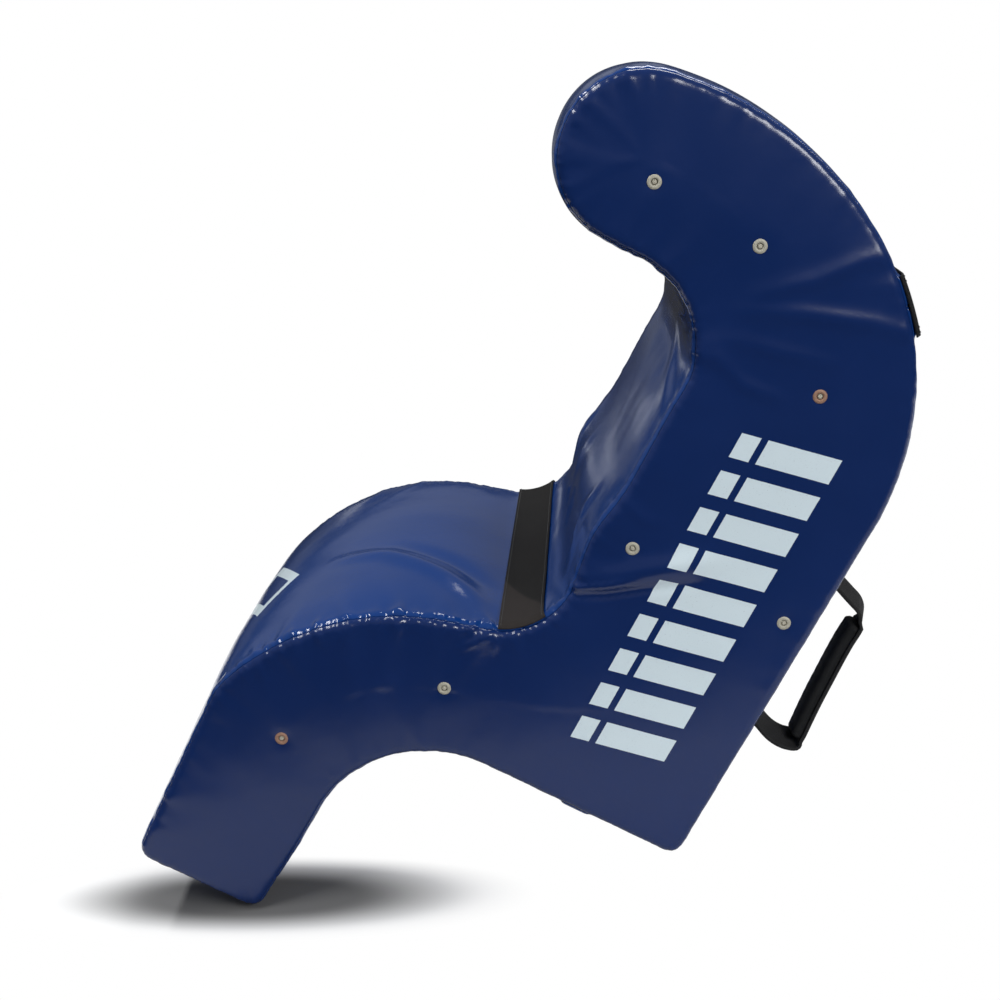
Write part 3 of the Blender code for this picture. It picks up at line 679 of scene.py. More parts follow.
photographed_creases = (
    (((-0.252, 0.232), (-0.239, 0.228), (-0.215, 0.243), (-0.189, 0.263)), 0.0030, 0.0036),
    (((-0.241, 0.237), (-0.211, 0.255), (-0.171, 0.287), (-0.127, 0.320)), 0.0130, 0.0050),
    (((-0.250, 0.223), (-0.235, 0.219), (-0.211, 0.233), (-0.179, 0.257), (-0.131, 0.289)), 0.0042, -0.0038),
    (((-0.296, 0.143), (-0.304, 0.128), (-0.314, 0.112)), 0.0042, 0.0030),
    (((-0.286, 0.142), (-0.282, 0.124)), 0.0036, 0.0022),
    (((-0.308, 0.146), (-0.322, 0.130)), 0.0036, 0.0020),
    (((-0.230, 0.548), (-0.176, 0.572), (-0.113, 0.594), (-0.060, 0.606)), 0.0090, 0.0024),
    (((-0.226, 0.566), (-0.180, 0.606), (-0.148, 0.643), (-0.122, 0.664)), 0.0085, 0.0024),
    (((-0.232, 0.500), (-0.192, 0.487), (-0.146, 0.491)), 0.0075, 0.0016),
    (((-0.228, 0.520), (-0.180, 0.530), (-0.120, 0.545)), 0.0080, 0.0013),
    (((-0.236, 0.330), (-0.214, 0.322), (-0.190, 0.330)), 0.0060, 0.0012),
)


def inside_outline(points):
    """Which upright points lie inside the outline, with their nearest place on it and their distance."""
    x, z = points[:, 0], points[:, 1]
    crossings = np.zeros(len(points), int)
    for (x0, z0), (x1, z1) in zip(outline_points[::4], np.roll(outline_points[::4], -1, axis=0)):
        spans = (z0 > z) != (z1 > z)
        with np.errstate(divide="ignore", invalid="ignore"):
            crossings += spans & (x < (x1 - x0) * (z - z0) / (z1 - z0 + 1e-15) + x0)
    place = np.zeros(len(points))
    distance = np.zeros(len(points))
    batch = 1500
    for i in range(0, len(points), batch):
        gap = np.linalg.norm(points[i:i + batch, None, :] - outline_points[None, ::2, :], axis=2)
        place[i:i + batch] = gap.argmin(axis=1) * 2.0
        distance[i:i + batch] = gap.min(axis=1)
    return crossings % 2 == 1, place, distance


def from_eyelets(points):
    """How far upright points lie from the nearest eyelet's middle."""
    return np.linalg.norm(points[:, None, :] - hole_middles[None, :, :], axis=2).min(axis=1)


def side_height(points, place, away, side):
    """How far the side panel stands out from its flat face, at upright points."""
    spots = np.column_stack((points, np.full(len(points), 0.4 if side == "near" else 3.1)))
    height = panel_crown * (1 - np.exp(-np.maximum(away, 0) / crown_reach))
    height += gathered(side_folds[side], place, np.maximum(away, 0)) + seam_groove(away)
    inner = 1 - np.exp(-np.maximum(away, 0) / ripple_start)
    for seed, (rise, size) in enumerate(panel_ripples, 1):
        height += inner * rise * rippled(spots, size, seed)
    if side == "near":
        for path, width, rise in photographed_creases:
            height += creased(points, path, width, rise)
    else:
        for path, width, rise in photographed_creases[::2]:
            height += creased(points, np.array(path) * (1.0, 0.97), width, rise * 0.8)
    return height - eyelet_dimple * np.exp(-((from_eyelets(points) / dimple_reach) ** 2))


seam_inset = edge_radius * (1 - math.cos(seam_turn))
hole_edge_count, hole_reach = hole_rings[0][0], hole_rings[-1][1]
for side, sign in (("near", -1), ("far", 1)):
    rings, maps = [], []
    for ring_inset in ring_insets:
        inset = seam_inset + ring_inset
        step = 2.2 if ring_inset < 0.004 else 3.4
        places = np.linspace(0, len(around), round(len(around) / step), endpoint=False)
        rings.append(wrapped(outline_points, places) - wrapped(outward, places) * inset)
        maps.append(np.column_stack((places, np.full(len(places), inset))))
    low, high = outline_points.min(axis=0), outline_points.max(axis=0)
    columns = np.arange(low[0], high[0], grid_pitch)
    rows = np.arange(low[1], high[1], grid_pitch * math.sqrt(3) / 2)
    grid = np.array([(x + (j % 2) * grid_pitch / 2, z) for j, z in enumerate(rows) for x in columns])
    inner, place, distance = inside_outline(grid)
    kept = inner & (distance > seam_inset + ring_insets[-1] + 0.6 * grid_pitch)
    kept &= from_eyelets(grid) > hole_reach + 0.5 * grid_pitch
    hole_points = []
    for middle in hole_middles:
        for count, radius in hole_rings:
            turns = 2 * math.pi * np.arange(count) / count
            hole_points.append(middle + radius * np.column_stack((np.cos(turns), np.sin(turns))))
    hole_points = np.concatenate(hole_points)
    _, hole_place, hole_distance = inside_outline(hole_points)
    flat = np.concatenate([*rings, hole_points, grid[kept]])
    places = np.concatenate([*[m[:, 0] for m in maps], hole_place, place[kept]])
    insets = np.concatenate([*[m[:, 1] for m in maps], hole_distance, distance[kept]])
    count = len(rings[0])
    edges = [(i, (i + 1) % count) for i in range(count)]
    first = sum(len(ring) for ring in rings)
    for _ in hole_middles:
        edges += [(first + i, first + (i + 1) % hole_edge_count) for i in range(hole_edge_count)]
        first += sum(count for count, _ in hole_rings)
    made = delaunay_2d_cdt([Vector(p) for p in flat], edges, [], 1, 1e-7)
    source = [ids[0] for ids in made[3]]
    flat, places, insets = flat[source], places[source], insets[source]
    turned = insets < seam_inset - 1e-6
    insets = np.maximum(insets, seam_inset)
    rounding = np.arccos(np.clip(1 - insets / edge_radius, -1, 1))
    rounding = np.where(insets < edge_radius, rounding, math.pi / 2)
    away = edge_radius * (rounding - seam_turn) + np.maximum(insets - edge_radius, 0)
    height = side_height(flat, places, away * 1000, side) - turned_depth * turned
    facing = wrapped(outward, places) * np.cos(rounding)[:, None]
    solid = np.column_stack(
        (
            flat[:, 0] + facing[:, 0] * height,
            sign * (bag_width / 2 - edge_radius + (edge_radius + height) * np.sin(rounding)),
            flat[:, 1] + facing[:, 1] * height,
        )
    )
    middles = np.array([flat[list(f)].mean(axis=0) for f in made[2]])
    whole = from_eyelets(middles) > hole_radius
    faces = [f if sign > 0 else f[::-1] for f, stays in zip(made[2], whole) if stays]
    paint = printed_side_blue if side == "near" else side_blue
    panel = cloth_piece(f"cover_side_{side}", settled(solid), faces, flat, paint)
    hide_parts(f"side_panel_{side}")

# Gussets: five strips of the same cloth close the cover from one side seam to the other. They bulge
# between the seams, and the strips meet at the strap, at the band and in turned cross seams.
gusset_crown = {
    "base_corner": 0.0, "back": 0.0045, "shoulder": 0.004, "crown": 0.004, "nose": 0.004, "underside": 0.003,
    "crook": 0.0, "inner": 0.005, "lap": 0.0, "thigh": 0.010, "knee": 0.008, "shin": 0.004, "toe": 0.001,
    "sole": 0.0015, "heel": 0.0, "calf": 0.003, "arch": 0.001, "base": 0.002,
}
crown_along = along_stretches(gusset_crown, 26)
strap_setback, band_rise, foot_wrap = 61.0, 232.0, 30.0
strap_width, band_width = 50.0, 62.0
zip_setback, zip_half_length, zip_slot, zip_calm = 0.125, 0.200, 11.0, 16.0
zip_lip_depth, zip_hollow, hold_fade, hold_limit = 0.0013, 30.0, 0.9, 500.0
shoulder_fall, shoulder_start, shoulder_reach = 0.0060, 7.0, 26.0
gusset_crown_power, strip_pitch, strip_gap = 2.2, 2.4, 0.15
broad_ripple, fine_ripple, gusset_ripple_start = (0.0010, 0.11), (0.0003, 0.045), 14.0
lap_seam = stretches["lap"][0] + strap_setback
band_seam = stretches["shoulder"][0] + band_rise
toe_seam = stretches["toe"][0] - foot_wrap
heel_seam = stretches["calf"][0] + foot_wrap
base_seam = len(around) - foot_wrap
base_start = int(stretches["base"][0])
zip_line = np.interp(-zip_setback, outline_points[base_start:, 0], around[base_start:])
strips = {
    "head": (band_seam, lap_seam),
    "thigh": (lap_seam, toe_seam),
    "foot": (toe_seam, heel_seam),
    "arch": (heel_seam, base_seam),
    "back": (base_seam, band_seam + len(around)),
}
gusset_creases = (
    (((along("thigh", 0.02), -205.0), (along("thigh", 0.20), -150.0), (along("thigh", 0.42), -95.0),
      (along("thigh", 0.62), -75.0)), 13.0, 0.0055),
    (((along("thigh", 0.0), -160.0), (along("thigh", 0.16), -112.0), (along("thigh", 0.36), -70.0)),
     12.0, -0.0035),
    (((along("inner", 0.97), -195.0), (along("inner", 0.66), -160.0)), 12.0, 0.0040),
    (((along("inner", 0.98), 60.0), (along("inner", 0.62), 90.0)), 30.0, 0.0030),
    (((along("inner", 0.95), 190.0), (along("inner", 0.60), 215.0)), 16.0, 0.0045),
    (((along("inner", 0.10), -215.0), (along("crook", 0.80), -80.0), (along("crook", 0.85), 120.0)),
     12.0, 0.0032),
    (((along("crook", 0.55), -230.0), (along("crook", 0.60), -120.0)), 9.0, 0.0040),
    (((along("crook", 0.35), 230.0), (along("crook", 0.55), 60.0)), 11.0, 0.0030),
)


def cross_places():
    """Places across a gusset, in millimetres from its middle, closer together near the seams."""
    half = gusset_half * 1000
    fine = [0.15, 1.0, 2.1, 3.4, 5.0, 7.0, 9.5, 12.5, 16.0, 20.5, 26.0, 33.0]
    coarse = np.linspace(half - 41.0, 0.0, 23)
    side = [half - q for q in fine] + list(coarse)
    return np.array([-v for v in side] + side[-2::-1])


def gusset_surface(places, across, lift):
    """Standing points of the cover at places along the outline and millimetres across, lifted off it."""
    flat_half = (bag_width / 2 - edge_radius) * 1000
    beyond = np.maximum(np.abs(across) - flat_half, 0) / 1000 / edge_radius
    sign = np.sign(across)
    point = wrapped(outline_points, places)
    out = wrapped(outward, places)
    inset = edge_radius * (1 - np.cos(beyond))
    y = sign * (np.minimum(np.abs(across), flat_half) / 1000 + (edge_radius + lift) * np.sin(beyond))
    moved = point + out * (lift * np.cos(beyond) - inset)[:, None]
    return settled(np.column_stack((moved[:, 0], y, moved[:, 1])))


def flattened(places):
    """How far webbing or the zip holds the cover flat there, from 0 to 1."""
    held = np.zeros(len(places))
    for middle, half in ((lap_seam, strap_width / 2), (band_seam, band_width / 2), (zip_line, zip_calm)):
        beyond = np.minimum((np.abs(past(places, middle)) - half) / hold_fade, hold_limit)
        held = np.maximum(held, 1 / (1 + np.exp(beyond)))
    return held


def unrolled_spots(places, across):
    """Places on the gussets laid out flat, in metres, for the noise of their ripples."""
    return np.column_stack((places % len(around) / 1000, across / 1000, np.full(len(places), 7.0)))


def calm_lift(places, across):
    """The cover's broad form: the crown between its seams and its widest ripples."""
    half = gusset_half * 1000
    lift = wrapped(crown_along, places) * (1 - np.clip(np.abs(across) / half, 0, 1) ** gusset_crown_power)
    inner = 1 - np.exp(-(half - np.abs(across)).clip(0) / gusset_ripple_start)
    rise, size = broad_ripple
    lift += rise * rippled(unrolled_spots(places, across), size, 3) * inner
    return lift * (1 - np.exp(-((past(places, zip_line) / zip_hollow) ** 4)))


def gusset_lift(places, across):
    """How far the cover stands out from its plain form there, with its gathers, creases and ripples."""
    half = gusset_half * 1000
    away = np.maximum(half - np.abs(across), 0)
    fall = shoulder_fall * (1 - np.exp(-away / shoulder_start)) * np.exp(-away / shoulder_reach)
    loose = seam_groove(away) - fall
    for side, sign in (("near", -1), ("far", 1)):
        mine = np.sign(across) == sign
        if mine.any():
            loose[mine] += gathered(side_folds[side], places[mine] % len(around), away[mine])
    rise, size = fine_ripple
    ripples = rippled(unrolled_spots(places, across), size, 4)
    loose += (1 - np.exp(-away / gusset_ripple_start)) * rise * ripples
    unrolled = np.column_stack((places % len(around), across))
    for path, width, rise in gusset_creases:
        loose += creased(unrolled, path, width, rise)
    return calm_lift(places, across) + loose * (1 - flattened(places))


mark_top, mark_near, mark_size, mark_lines = 2.000, -0.0600, (0.075, 0.200), (0.015, 0.024)
mark_skew_down, mark_skew_across = 0.45, 1.57


def outlined_frame(tree, down, across):
    """A plain skewed frame in outline on the front of the leg."""
    from_top = less(tree, down, mark_top)
    from_near = less(tree, across, mark_near)
    level = less(tree, from_top, product(tree, from_near, mark_skew_down))
    aside = total(tree, from_near, product(tree, from_top, mark_skew_across))
    tall, wide = mark_size
    outer = product(tree, banded(tree, level, 0.0, tall), banded(tree, aside, 0.0, wide))
    inner_level = banded(tree, level, mark_lines[0], tall - mark_lines[0])
    inner_aside = banded(tree, aside, mark_lines[1], wide - mark_lines[1])
    return less(tree, outer, product(tree, inner_level, inner_aside))


# The leg's front strip takes the gussets' blues, painted lighter for the light from above, and a printed
# frame.
marked_painted_light_blue = cover_paint("marked_gusset_painted_light_cloth", *gusset_painted_light_blues, gusset_roughness, outlined_frame)


def cell(i, j, columns):
    """The corners of one face of a grid of points, numbered row by row."""
    return i * columns + j, i * columns + j + 1, (i + 1) * columns + j + 1, (i + 1) * columns + j


def strip_piece(name, first, last, slot=None):
    """One gusset strip, its edges and ends turned in at the seams, with an opening for the zip."""
    places = np.linspace(first, last, round((last - first) / strip_pitch))
    across = cross_places()
    if slot:
        places = np.sort(np.append(places[np.abs(places - sum(slot) / 2) > slot[1] - slot[0]], slot))
        for end in (-zip_half_length, zip_half_length):
            across[np.abs(across - end * 1000).argmin()] = end * 1000
    drop_along = np.zeros(len(places) + 2)
    drop_along[[0, -1]] = turned_depth
    drop_across = np.zeros(len(across) + 2)
    drop_across[[0, -1]] = turned_depth
    places = np.concatenate((places[:1], places, places[-1:]))
    across = np.concatenate((across[:1], across, across[-1:]))
    rows, columns = len(places), len(across)
    grid_places = np.repeat(places, columns)
    grid_across = np.tile(across, rows)
    lift = gusset_lift(grid_places, grid_across) + seam_groove(grid_places - first)
    lift += seam_groove(last - grid_places)
    lift -= np.maximum(np.repeat(drop_along, columns), np.tile(drop_across, rows))
    points = gusset_surface(grid_places, grid_across, lift)
    faces = []
    for i in range(rows - 1):
        for j in range(columns - 1):
            middle, aside = (places[i] + places[i + 1]) / 2, abs(across[j] + across[j + 1]) / 2000
            if not (slot and slot[0] < middle < slot[1] and aside < zip_half_length):
                faces.append(cell(i, j, columns))
    paint = marked_painted_light_blue if name == "cover_thigh" else gusset_painted_light_blue
    strip = cloth_piece(name, points, faces, np.column_stack((grid_places, grid_across)) / 1000, paint)
    if slot:
        bm = bmesh.new()
        bm.from_mesh(strip.data)
        places_of = bm.verts.layers.float.new("place")
        for vertex, place in zip(bm.verts, grid_places):
            vertex[places_of] = place
        lips = [
            edge for edge in bm.edges
            if edge.is_boundary and all(slot[0] - 0.1 < v[places_of] < slot[1] + 0.1 for v in edge.verts)
        ]
        turned = bmesh.ops.extrude_edge_only(bm, edges=lips)["geom"]
        inwards = upright.to_3x3() @ Vector((0.0, 0.0, zip_lip_depth))
        bmesh.ops.translate(bm, vec=inwards, verts=[v for v in turned if isinstance(v, bmesh.types.BMVert)])
        bm.to_mesh(strip.data)
        bm.free()
    return strip


for name, (first, last) in strips.items():
    slot = (zip_line - zip_slot / 2, zip_line + zip_slot / 2) if name == "arch" else None
    strip = strip_piece(f"cover_{name}", first + strip_gap, last - strip_gap, slot)
    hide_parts(f"gusset_{name}")

# Foam core: three blocks of cream foam, cut from sheet and glued at the head joint and the leg joint.
# It fills the cover, and shows only through the vent eyelets.
foam_paint, tree, shader = painted("foam")
shader.inputs["Roughness"].default_value = 0.92
pores = tree.nodes.new("ShaderNodeTexVoronoi")
pores.inputs["Scale"].default_value = 900.0
tree.links.new(located(tree, "Object"), pores.inputs["Vector"])
cream = mixed(tree, pores.outputs["Distance"], (0.38, 0.36, 0.29), (0.50, 0.47, 0.385))
tree.links.new(cream, shader.inputs["Base Color"])
raised_by(tree, shader, pores.outputs["Distance"], 0.0006)

foam_inset, foam_joint_gap, foam_crease = 0.0058, 0.0003, 40
head_joint_drop, leg_joint_setback = 0.018, 0.015
vent_profile = (
    (0.0, -0.0011), (0.0015, -0.0010), (0.0022, -0.0006), (0.0026, 0.0004),
    (0.0028, 0.0026), (0.0028, 0.0085), (0.0, 0.0085),
)
foam_places = np.linspace(0, len(around), 420, endpoint=False)
foam_half = bag_width / 2 - foam_inset
head_joint = outline_points[int(stretches["inner"][0])][1] - head_joint_drop
leg_joint = -torso_thickness - leg_joint_setback


def face_height(spot, side):
    """How far the side panel's face stands from the middle plane, at one upright point."""
    spot = np.array([spot])
    _, place, distance = inside_outline(spot)
    away = (edge_radius * (math.pi / 2 - seam_turn) + distance - edge_radius) * 1000
    return bag_width / 2 + side_height(spot, place, away, side)[0]


def add_turned(bm, profile, spot, face, sign, facets):
    """Adds a turned body to the mesh: (radius, depth) pairs below the face, about a point of one side."""
    rings = []
    for radius, depth in profile:
        ring = []
        for turn in 2 * math.pi * np.arange(facets if radius else 1) / facets:
            x, z = spot[0] + radius * math.cos(turn), spot[1] + radius * math.sin(turn)
            ring.append(bm.verts.new((x, sign * (face - depth), z)))
        rings.append(ring)
    for here, ahead in zip(rings, rings[1:]):
        for i in range(facets):
            square = ((here, i), (here, i + 1), (ahead, i + 1), (ahead, i))
            corners = [ring[k % len(ring)] for ring, k in square]
            bm.faces.new(list(dict.fromkeys(corners)))


def edited(name, bm, move, paint, crease):
    """A smooth object of an edited mesh, with its faces turned outwards, moved to where it stands."""
    bmesh.ops.recalc_face_normals(bm, faces=bm.faces)
    bm.transform(move)
    mesh = bpy.data.meshes.new(name)
    bm.to_mesh(mesh)
    bm.free()
    return shown(name, mesh, paint, crease)


def foam_block(name, joints, vents):
    """The core on one side of each joint, a point and the direction to keep, pressed into its vents."""
    bm = bmesh.new()
    rings = []
    for turn in np.radians((90, 60, 30, 0)):
        inset = foam_inset + edge_radius * (1 - math.cos(turn))
        rings.append((inset, foam_half - edge_radius * (1 - math.sin(turn))))
    rings += [(inset, -y) for inset, y in reversed(rings)]
    rows = []
    for inset, y in rings:
        flat = wrapped(outline_points, foam_places) - wrapped(outward, foam_places) * inset
        rows.append([bm.verts.new((x, y, z)) for x, z in flat])
    for here, ahead in zip(rows, rows[1:]):
        for i in range(len(here)):
            bm.faces.new((here[i - 1], here[i], ahead[i], ahead[i - 1]))
    bm.faces.new(rows[0])
    bm.faces.new(rows[-1])
    for point, keep in joints:
        geometry = bm.verts[:] + bm.edges[:] + bm.faces[:]
        start = Vector(point) + Vector(keep) * foam_joint_gap / 2
        cut = bmesh.ops.bisect_plane(bm, geom=geometry, plane_co=start, plane_no=keep, clear_inner=True)
        rim = [e for e in cut["geom_cut"] if isinstance(e, bmesh.types.BMEdge) and e.is_boundary]
        bmesh.ops.contextual_create(bm, geom=rim)
    for side, sign in (("near", -1), ("far", 1)):
        for label in vents:
            spot = eyelet_places[label]
            add_turned(bm, vent_profile, spot, face_height(spot, side), sign, 20)
    made = edited(name, bm, upright, foam_paint, foam_crease)
    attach(made, "root")
    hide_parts(name.replace("core", "foam"))


foam_block("core_head", (((0, 0, head_joint), (0, 0, 1)),), ("nose", "crown", "shoulder"))
foam_block(
    "core_torso", (((0, 0, head_joint), (0, 0, -1)), ((leg_joint, 0, 0), (1, 0, 0))), ("chest", "back")
)
foam_block("core_leg", (((0, 0, head_joint), (0, 0, -1)), ((leg_joint, 0, 0), (-1, 0, 0))), ("thigh", "shin"))


# Webbing: flat woven polypropylene in near-black, ribbed along its length, with a firm edge. The
# strap, the band, the handles and the zip's tapes have this weave at their own scales.
pick_slant, pick_pitch, pick_height, webbing_relief = 0.6, 1.25, 0.45, 0.00025
rib_wear, wear_share, webbing_gap, painted_light_fade = 0.5, 0.55, 0.0004, 0.012


def noisy(tree, scale, detail):
    """Soft noise over the object, with about this many clouds to the metre."""
    node = tree.nodes.new("ShaderNodeTexNoise")
    node.inputs["Scale"].default_value = scale
    node.inputs["Detail"].default_value = detail
    tree.links.new(located(tree, "Object"), node.inputs["Vector"])
    return node.outputs[0]


def webbing_paint(name, dark, worn, rib_pitch, roughness=0.72, painted_light_end=None):
    """Woven webbing from its map in metres: X along the length and Y across. One end may carry painted light:
    a lighter colour past a slanting shadow edge.
    """
    made, tree, shader = painted(name)
    shader.inputs["Roughness"].default_value = roughness
    shader.inputs["Sheen Weight"].default_value = 0.01
    shader.inputs["IOR"].default_value = 1.25
    webbing_map = tree.nodes.new("ShaderNodeUVMap")
    webbing_map.uv_map = "cloth"
    along_band, across_band, _ = split_vector(tree, webbing_map.outputs[0])
    ribs = maths(tree, "SINE", product(tree, across_band, 2 * math.pi / rib_pitch))
    slant = total(tree, along_band, product(tree, across_band, pick_slant))
    picks = maths(tree, "SINE", product(tree, slant, 2 * math.pi / (rib_pitch * pick_pitch)))
    raised = total(tree, maths(tree, "ABSOLUTE", ribs), product(tree, picks, pick_height))
    worn_ribs = total(tree, product(tree, raised, rib_wear), noisy(tree, 34.0, 6.0))
    finish = mixed(tree, product(tree, worn_ribs, wear_share), dark, worn)
    # Painted light: past a slanting edge, the webbing's end is painted a lighter colour, as if it came out of
    # a cast shadow.
    if painted_light_end:
        middle, start, slope, painted_light_colour = painted_light_end
        beyond = less(tree, product(tree, less(tree, across_band, middle), slope), along_band)
        finish = mixed(tree, graded(tree, beyond, start, start + painted_light_fade), finish, painted_light_colour)
    tree.links.new(finish, shader.inputs["Base Color"])
    raised_by(tree, shader, raised, webbing_relief, 0.8)
    return made


# The strap's near end is painted lighter past a slanting edge: painted light, standing in for the edge of a
# cast shadow across the strap.
strap_painted_light = (lap_seam / 1000, 0.177, 2.1, (0.0225, 0.0187, 0.0172))
strap_black = webbing_paint(
    "strap_webbing", (0.0036, 0.0033, 0.0033), (0.0120, 0.0110, 0.0106), 0.0016, painted_light_end=strap_painted_light
)
band_black = webbing_paint("band_webbing", (0.0045, 0.0045, 0.0050), (0.012, 0.012, 0.013), 0.0022)

thread_paint, tree, shader = painted("thread")
shader.inputs["Roughness"].default_value = 0.55
twist = tree.nodes.new("ShaderNodeTexWave")
twist.inputs["Scale"].default_value = 700.0
thread_tint = mixed(tree, twist.outputs["Fac"], (0.012, 0.012, 0.013), (0.045, 0.045, 0.048))
tree.links.new(thread_tint, shader.inputs["Base Color"])

stitch_length, stitch_gap, thread_radius = 0.0032, 0.0009, 0.00042
stitch_rings, stitch_sides, stitch_end, stitch_sink = 5, 6, 0.55, 0.55


def lengths_along(points):
    """The length of a path up to each of its points."""
    return np.concatenate(([0.0], np.cumsum(np.linalg.norm(np.diff(points, axis=0), axis=1))))


def at_length(length, lengths, values):
    """What values along a path come to at one length."""
    return np.array([np.interp(length, lengths, column) for column in values.T])


def tube_faces(rows, count):
    """The faces of a tube of this many rings, with this many points each, and of its closed ends."""
    faces = []
    for i in range(rows - 1):
        for j in range(count):
            a, b = i * count + j, i * count + (j + 1) % count
            faces.append((a, b, b + count, a + count))
    last = (rows - 1) * count
    return [*faces, tuple(range(count - 1, -1, -1)), tuple(range(last, last + count))]


def sewn(name, lines):
    """Rows of stitches along lines of (point, outward normal): short threads that bow out."""
    vertices, faces = [], []
    for line in lines:
        points, normals = (np.array(values) for values in zip(*line))
        lengths = lengths_along(points)
        count = max(1, int(lengths[-1] / (stitch_length + stitch_gap)))
        pitch = lengths[-1] / count
        for i in range(count):
            begin = len(vertices)
            for j in range(stitch_rings):
                share = j / (stitch_rings - 1)
                at = i * pitch + pitch * (0.10 + 0.80 * share)
                centre, normal = (at_length(at, lengths, values) for values in (points, normals))
                ahead = at_length(at + 1e-4, lengths, points) - at_length(at - 1e-4, lengths, points)
                ahead /= np.linalg.norm(ahead) + 1e-12
                normal -= ahead * (normal @ ahead)
                normal /= np.linalg.norm(normal) + 1e-12
                across = np.cross(ahead, normal)
                bow = (math.sin(math.pi * share) - stitch_sink) * thread_radius
                radius = thread_radius * (1.0 if 0 < share < 1 else stitch_end)
                for k in range(stitch_sides):
                    turn = 2 * math.pi * k / stitch_sides
                    spot = centre + normal * (bow + radius * math.sin(turn))
                    vertices.append(tuple(spot + across * radius * math.cos(turn)))
            thread_faces = tube_faces(stitch_rings, stitch_sides)
            faces += [tuple(begin + corner for corner in face) for face in thread_faces]
    made = shown(name, mesh_of(name, vertices, faces), thread_paint)
    return made


# Lap strap: 50 mm webbing sewn down flat across the lap, with its ends caught in the side seams. It
# presses the cover into the lap.
def closed_strip(name, places, across, lift_by, thickness, paint):
    """A sheet of real thickness on the cover, with round edges, as a grid of places by across."""
    rows, columns = len(places), len(across)
    grid_places = np.repeat(places, columns)
    grid_across = np.tile(across, rows)
    lift = lift_by(grid_places, grid_across)
    edge = np.ones((rows, columns))
    for k, share in ((0, 0.35), (1, 0.85)):
        for border in (edge[k, :], edge[-1 - k, :], edge[:, k], edge[:, -1 - k]):
            np.minimum(border, share, out=border)
    rise = edge.ravel() * thickness / 2
    top = gusset_surface(grid_places, grid_across, lift + thickness / 2 + rise)
    bottom = gusset_surface(grid_places, grid_across, lift + thickness / 2 - rise)
    count = rows * columns
    faces = []
    for i in range(rows - 1):
        for j in range(columns - 1):
            corners = cell(i, j, columns)
            faces += [corners, tuple(count + corner for corner in reversed(corners))]
    rim = list(range(columns))
    rim += [i * columns + columns - 1 for i in range(1, rows)]
    rim += [(rows - 1) * columns + j for j in range(columns - 2, -1, -1)]
    rim += [i * columns for i in range(rows - 2, 0, -1)]
    for a, b in zip(rim, rim[1:] + rim[:1]):
        faces.append((b, a, count + a, count + b))
    flat = np.column_stack((grid_across, grid_places)) / 1000
    made = cloth_piece(name, np.concatenate((top, bottom)), faces, np.concatenate((flat, flat)), paint)
    return made


def edged(first, last, step):
    """Places between two ends, with two extra close to each for a round edge."""
    inner = np.linspace(first + 0.9, last - 0.9, max(3, round((last - first) / step)))
    return np.concatenate(((first, first + 0.35), inner, (last - 0.35, last)))


def surface_line(places, across, lift):
    """A line on the cover as points with their outward normals."""
    places, across = np.broadcast_arrays(np.asarray(places, float), np.asarray(across, float))
    low = gusset_surface(places, across, lift)
    high = gusset_surface(places, across, lift + 0.002)
    normals = (high - low) / np.linalg.norm(high - low, axis=1)[:, None]
    return list(zip(low, normals))


strap_thickness, strap_curl, strap_ripple = 0.0017, 0.0005, (0.0003, 0.05)
strap_end = gusset_half * 1000 - 0.8
strap_ends = (lap_seam - strap_width / 2, lap_seam + strap_width / 2)


def strap_lift(places, across):
    """The strap lies on the cover, and its edges curl up a little."""
    curl = strap_curl * ((places - lap_seam) / (strap_width / 2)) ** 4
    spots = np.column_stack((places / 1000, across / 1000, np.zeros(len(places))))
    rise, size = strap_ripple
    return calm_lift(places, across) + webbing_gap + curl + rise * rippled(spots, size, 5)


strap = closed_strip(
    "lap_webbing", edged(*strap_ends, 2.6), edged(-strap_end, strap_end, 4.0), strap_lift,
    strap_thickness, strap_black,
)
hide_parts("lap_strap")


def stitched_across(inset, end, ends, lift_by, thickness):
    """A row of stitches along the webbing's length, this far inside its first edge."""
    across = np.linspace(-end, end, 160)
    places = np.full(len(across), ends[0] + inset)
    return surface_line(places, across, lift_by(places, across) + thickness)


strap_lines = [
    stitched_across(inset, strap_end - 3, strap_ends, strap_lift, strap_thickness)
    for inset in (2.6, strap_width - 2.6)
]
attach(sewn("lap_stitching", strap_lines), "root")

# Back band: a 62 mm band of stiffer webbing sewn across the back below the crown. Its lower edge
# stands a little proud of the cover.
band_thickness, band_gape = 0.0022, 0.0014
band_end = strap_end
band_ends = (band_seam - band_width / 2, band_seam + band_width / 2)


def band_lift(places, across):
    """The band lies close at its upper edge and lifts off at its lower one."""
    low = np.clip((band_ends[1] - places) / band_width, 0, 1)
    return calm_lift(places, across) + webbing_gap + band_gape * low**2


band = closed_strip(
    "back_webbing", edged(*band_ends, 2.8), edged(-band_end, band_end, 5.0), band_lift,
    band_thickness, band_black,
)
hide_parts("back_band")
band_lines = [
    stitched_across(inset, band_end - 3, band_ends, band_lift, band_thickness)
    for inset in (3.0, 8.0, band_width - 8.0, band_width - 3.0)
]
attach(sewn("band_stitching", band_lines), "root")

# Vent eyelets: rolled brass rings pressed through the side panels, dulled to a greyish cream. The
# shoulder's and the shin's have turned coppery.
eyelet_flange, eyelet_barrel, eyelet_bore = 0.0070, 0.0041, 0.0030
eyelet_stand, eyelet_crease = 0.0007, 50


def cloudy_paint(name, metallic, clouds, colours, roughness, relief=None):
    """An old finish, cloudy between two colours and between two roughnesses, with a faint relief."""
    made, tree, shader = painted(name)
    shader.inputs["Metallic"].default_value = metallic
    cloud = noisy(tree, *clouds)
    tree.links.new(mixed(tree, cloud, *colours), shader.inputs["Base Color"])
    tree.links.new(ranged(tree, cloud, *roughness), shader.inputs["Roughness"])
    if relief:
        raised_by(tree, shader, cloud, relief)
    return made


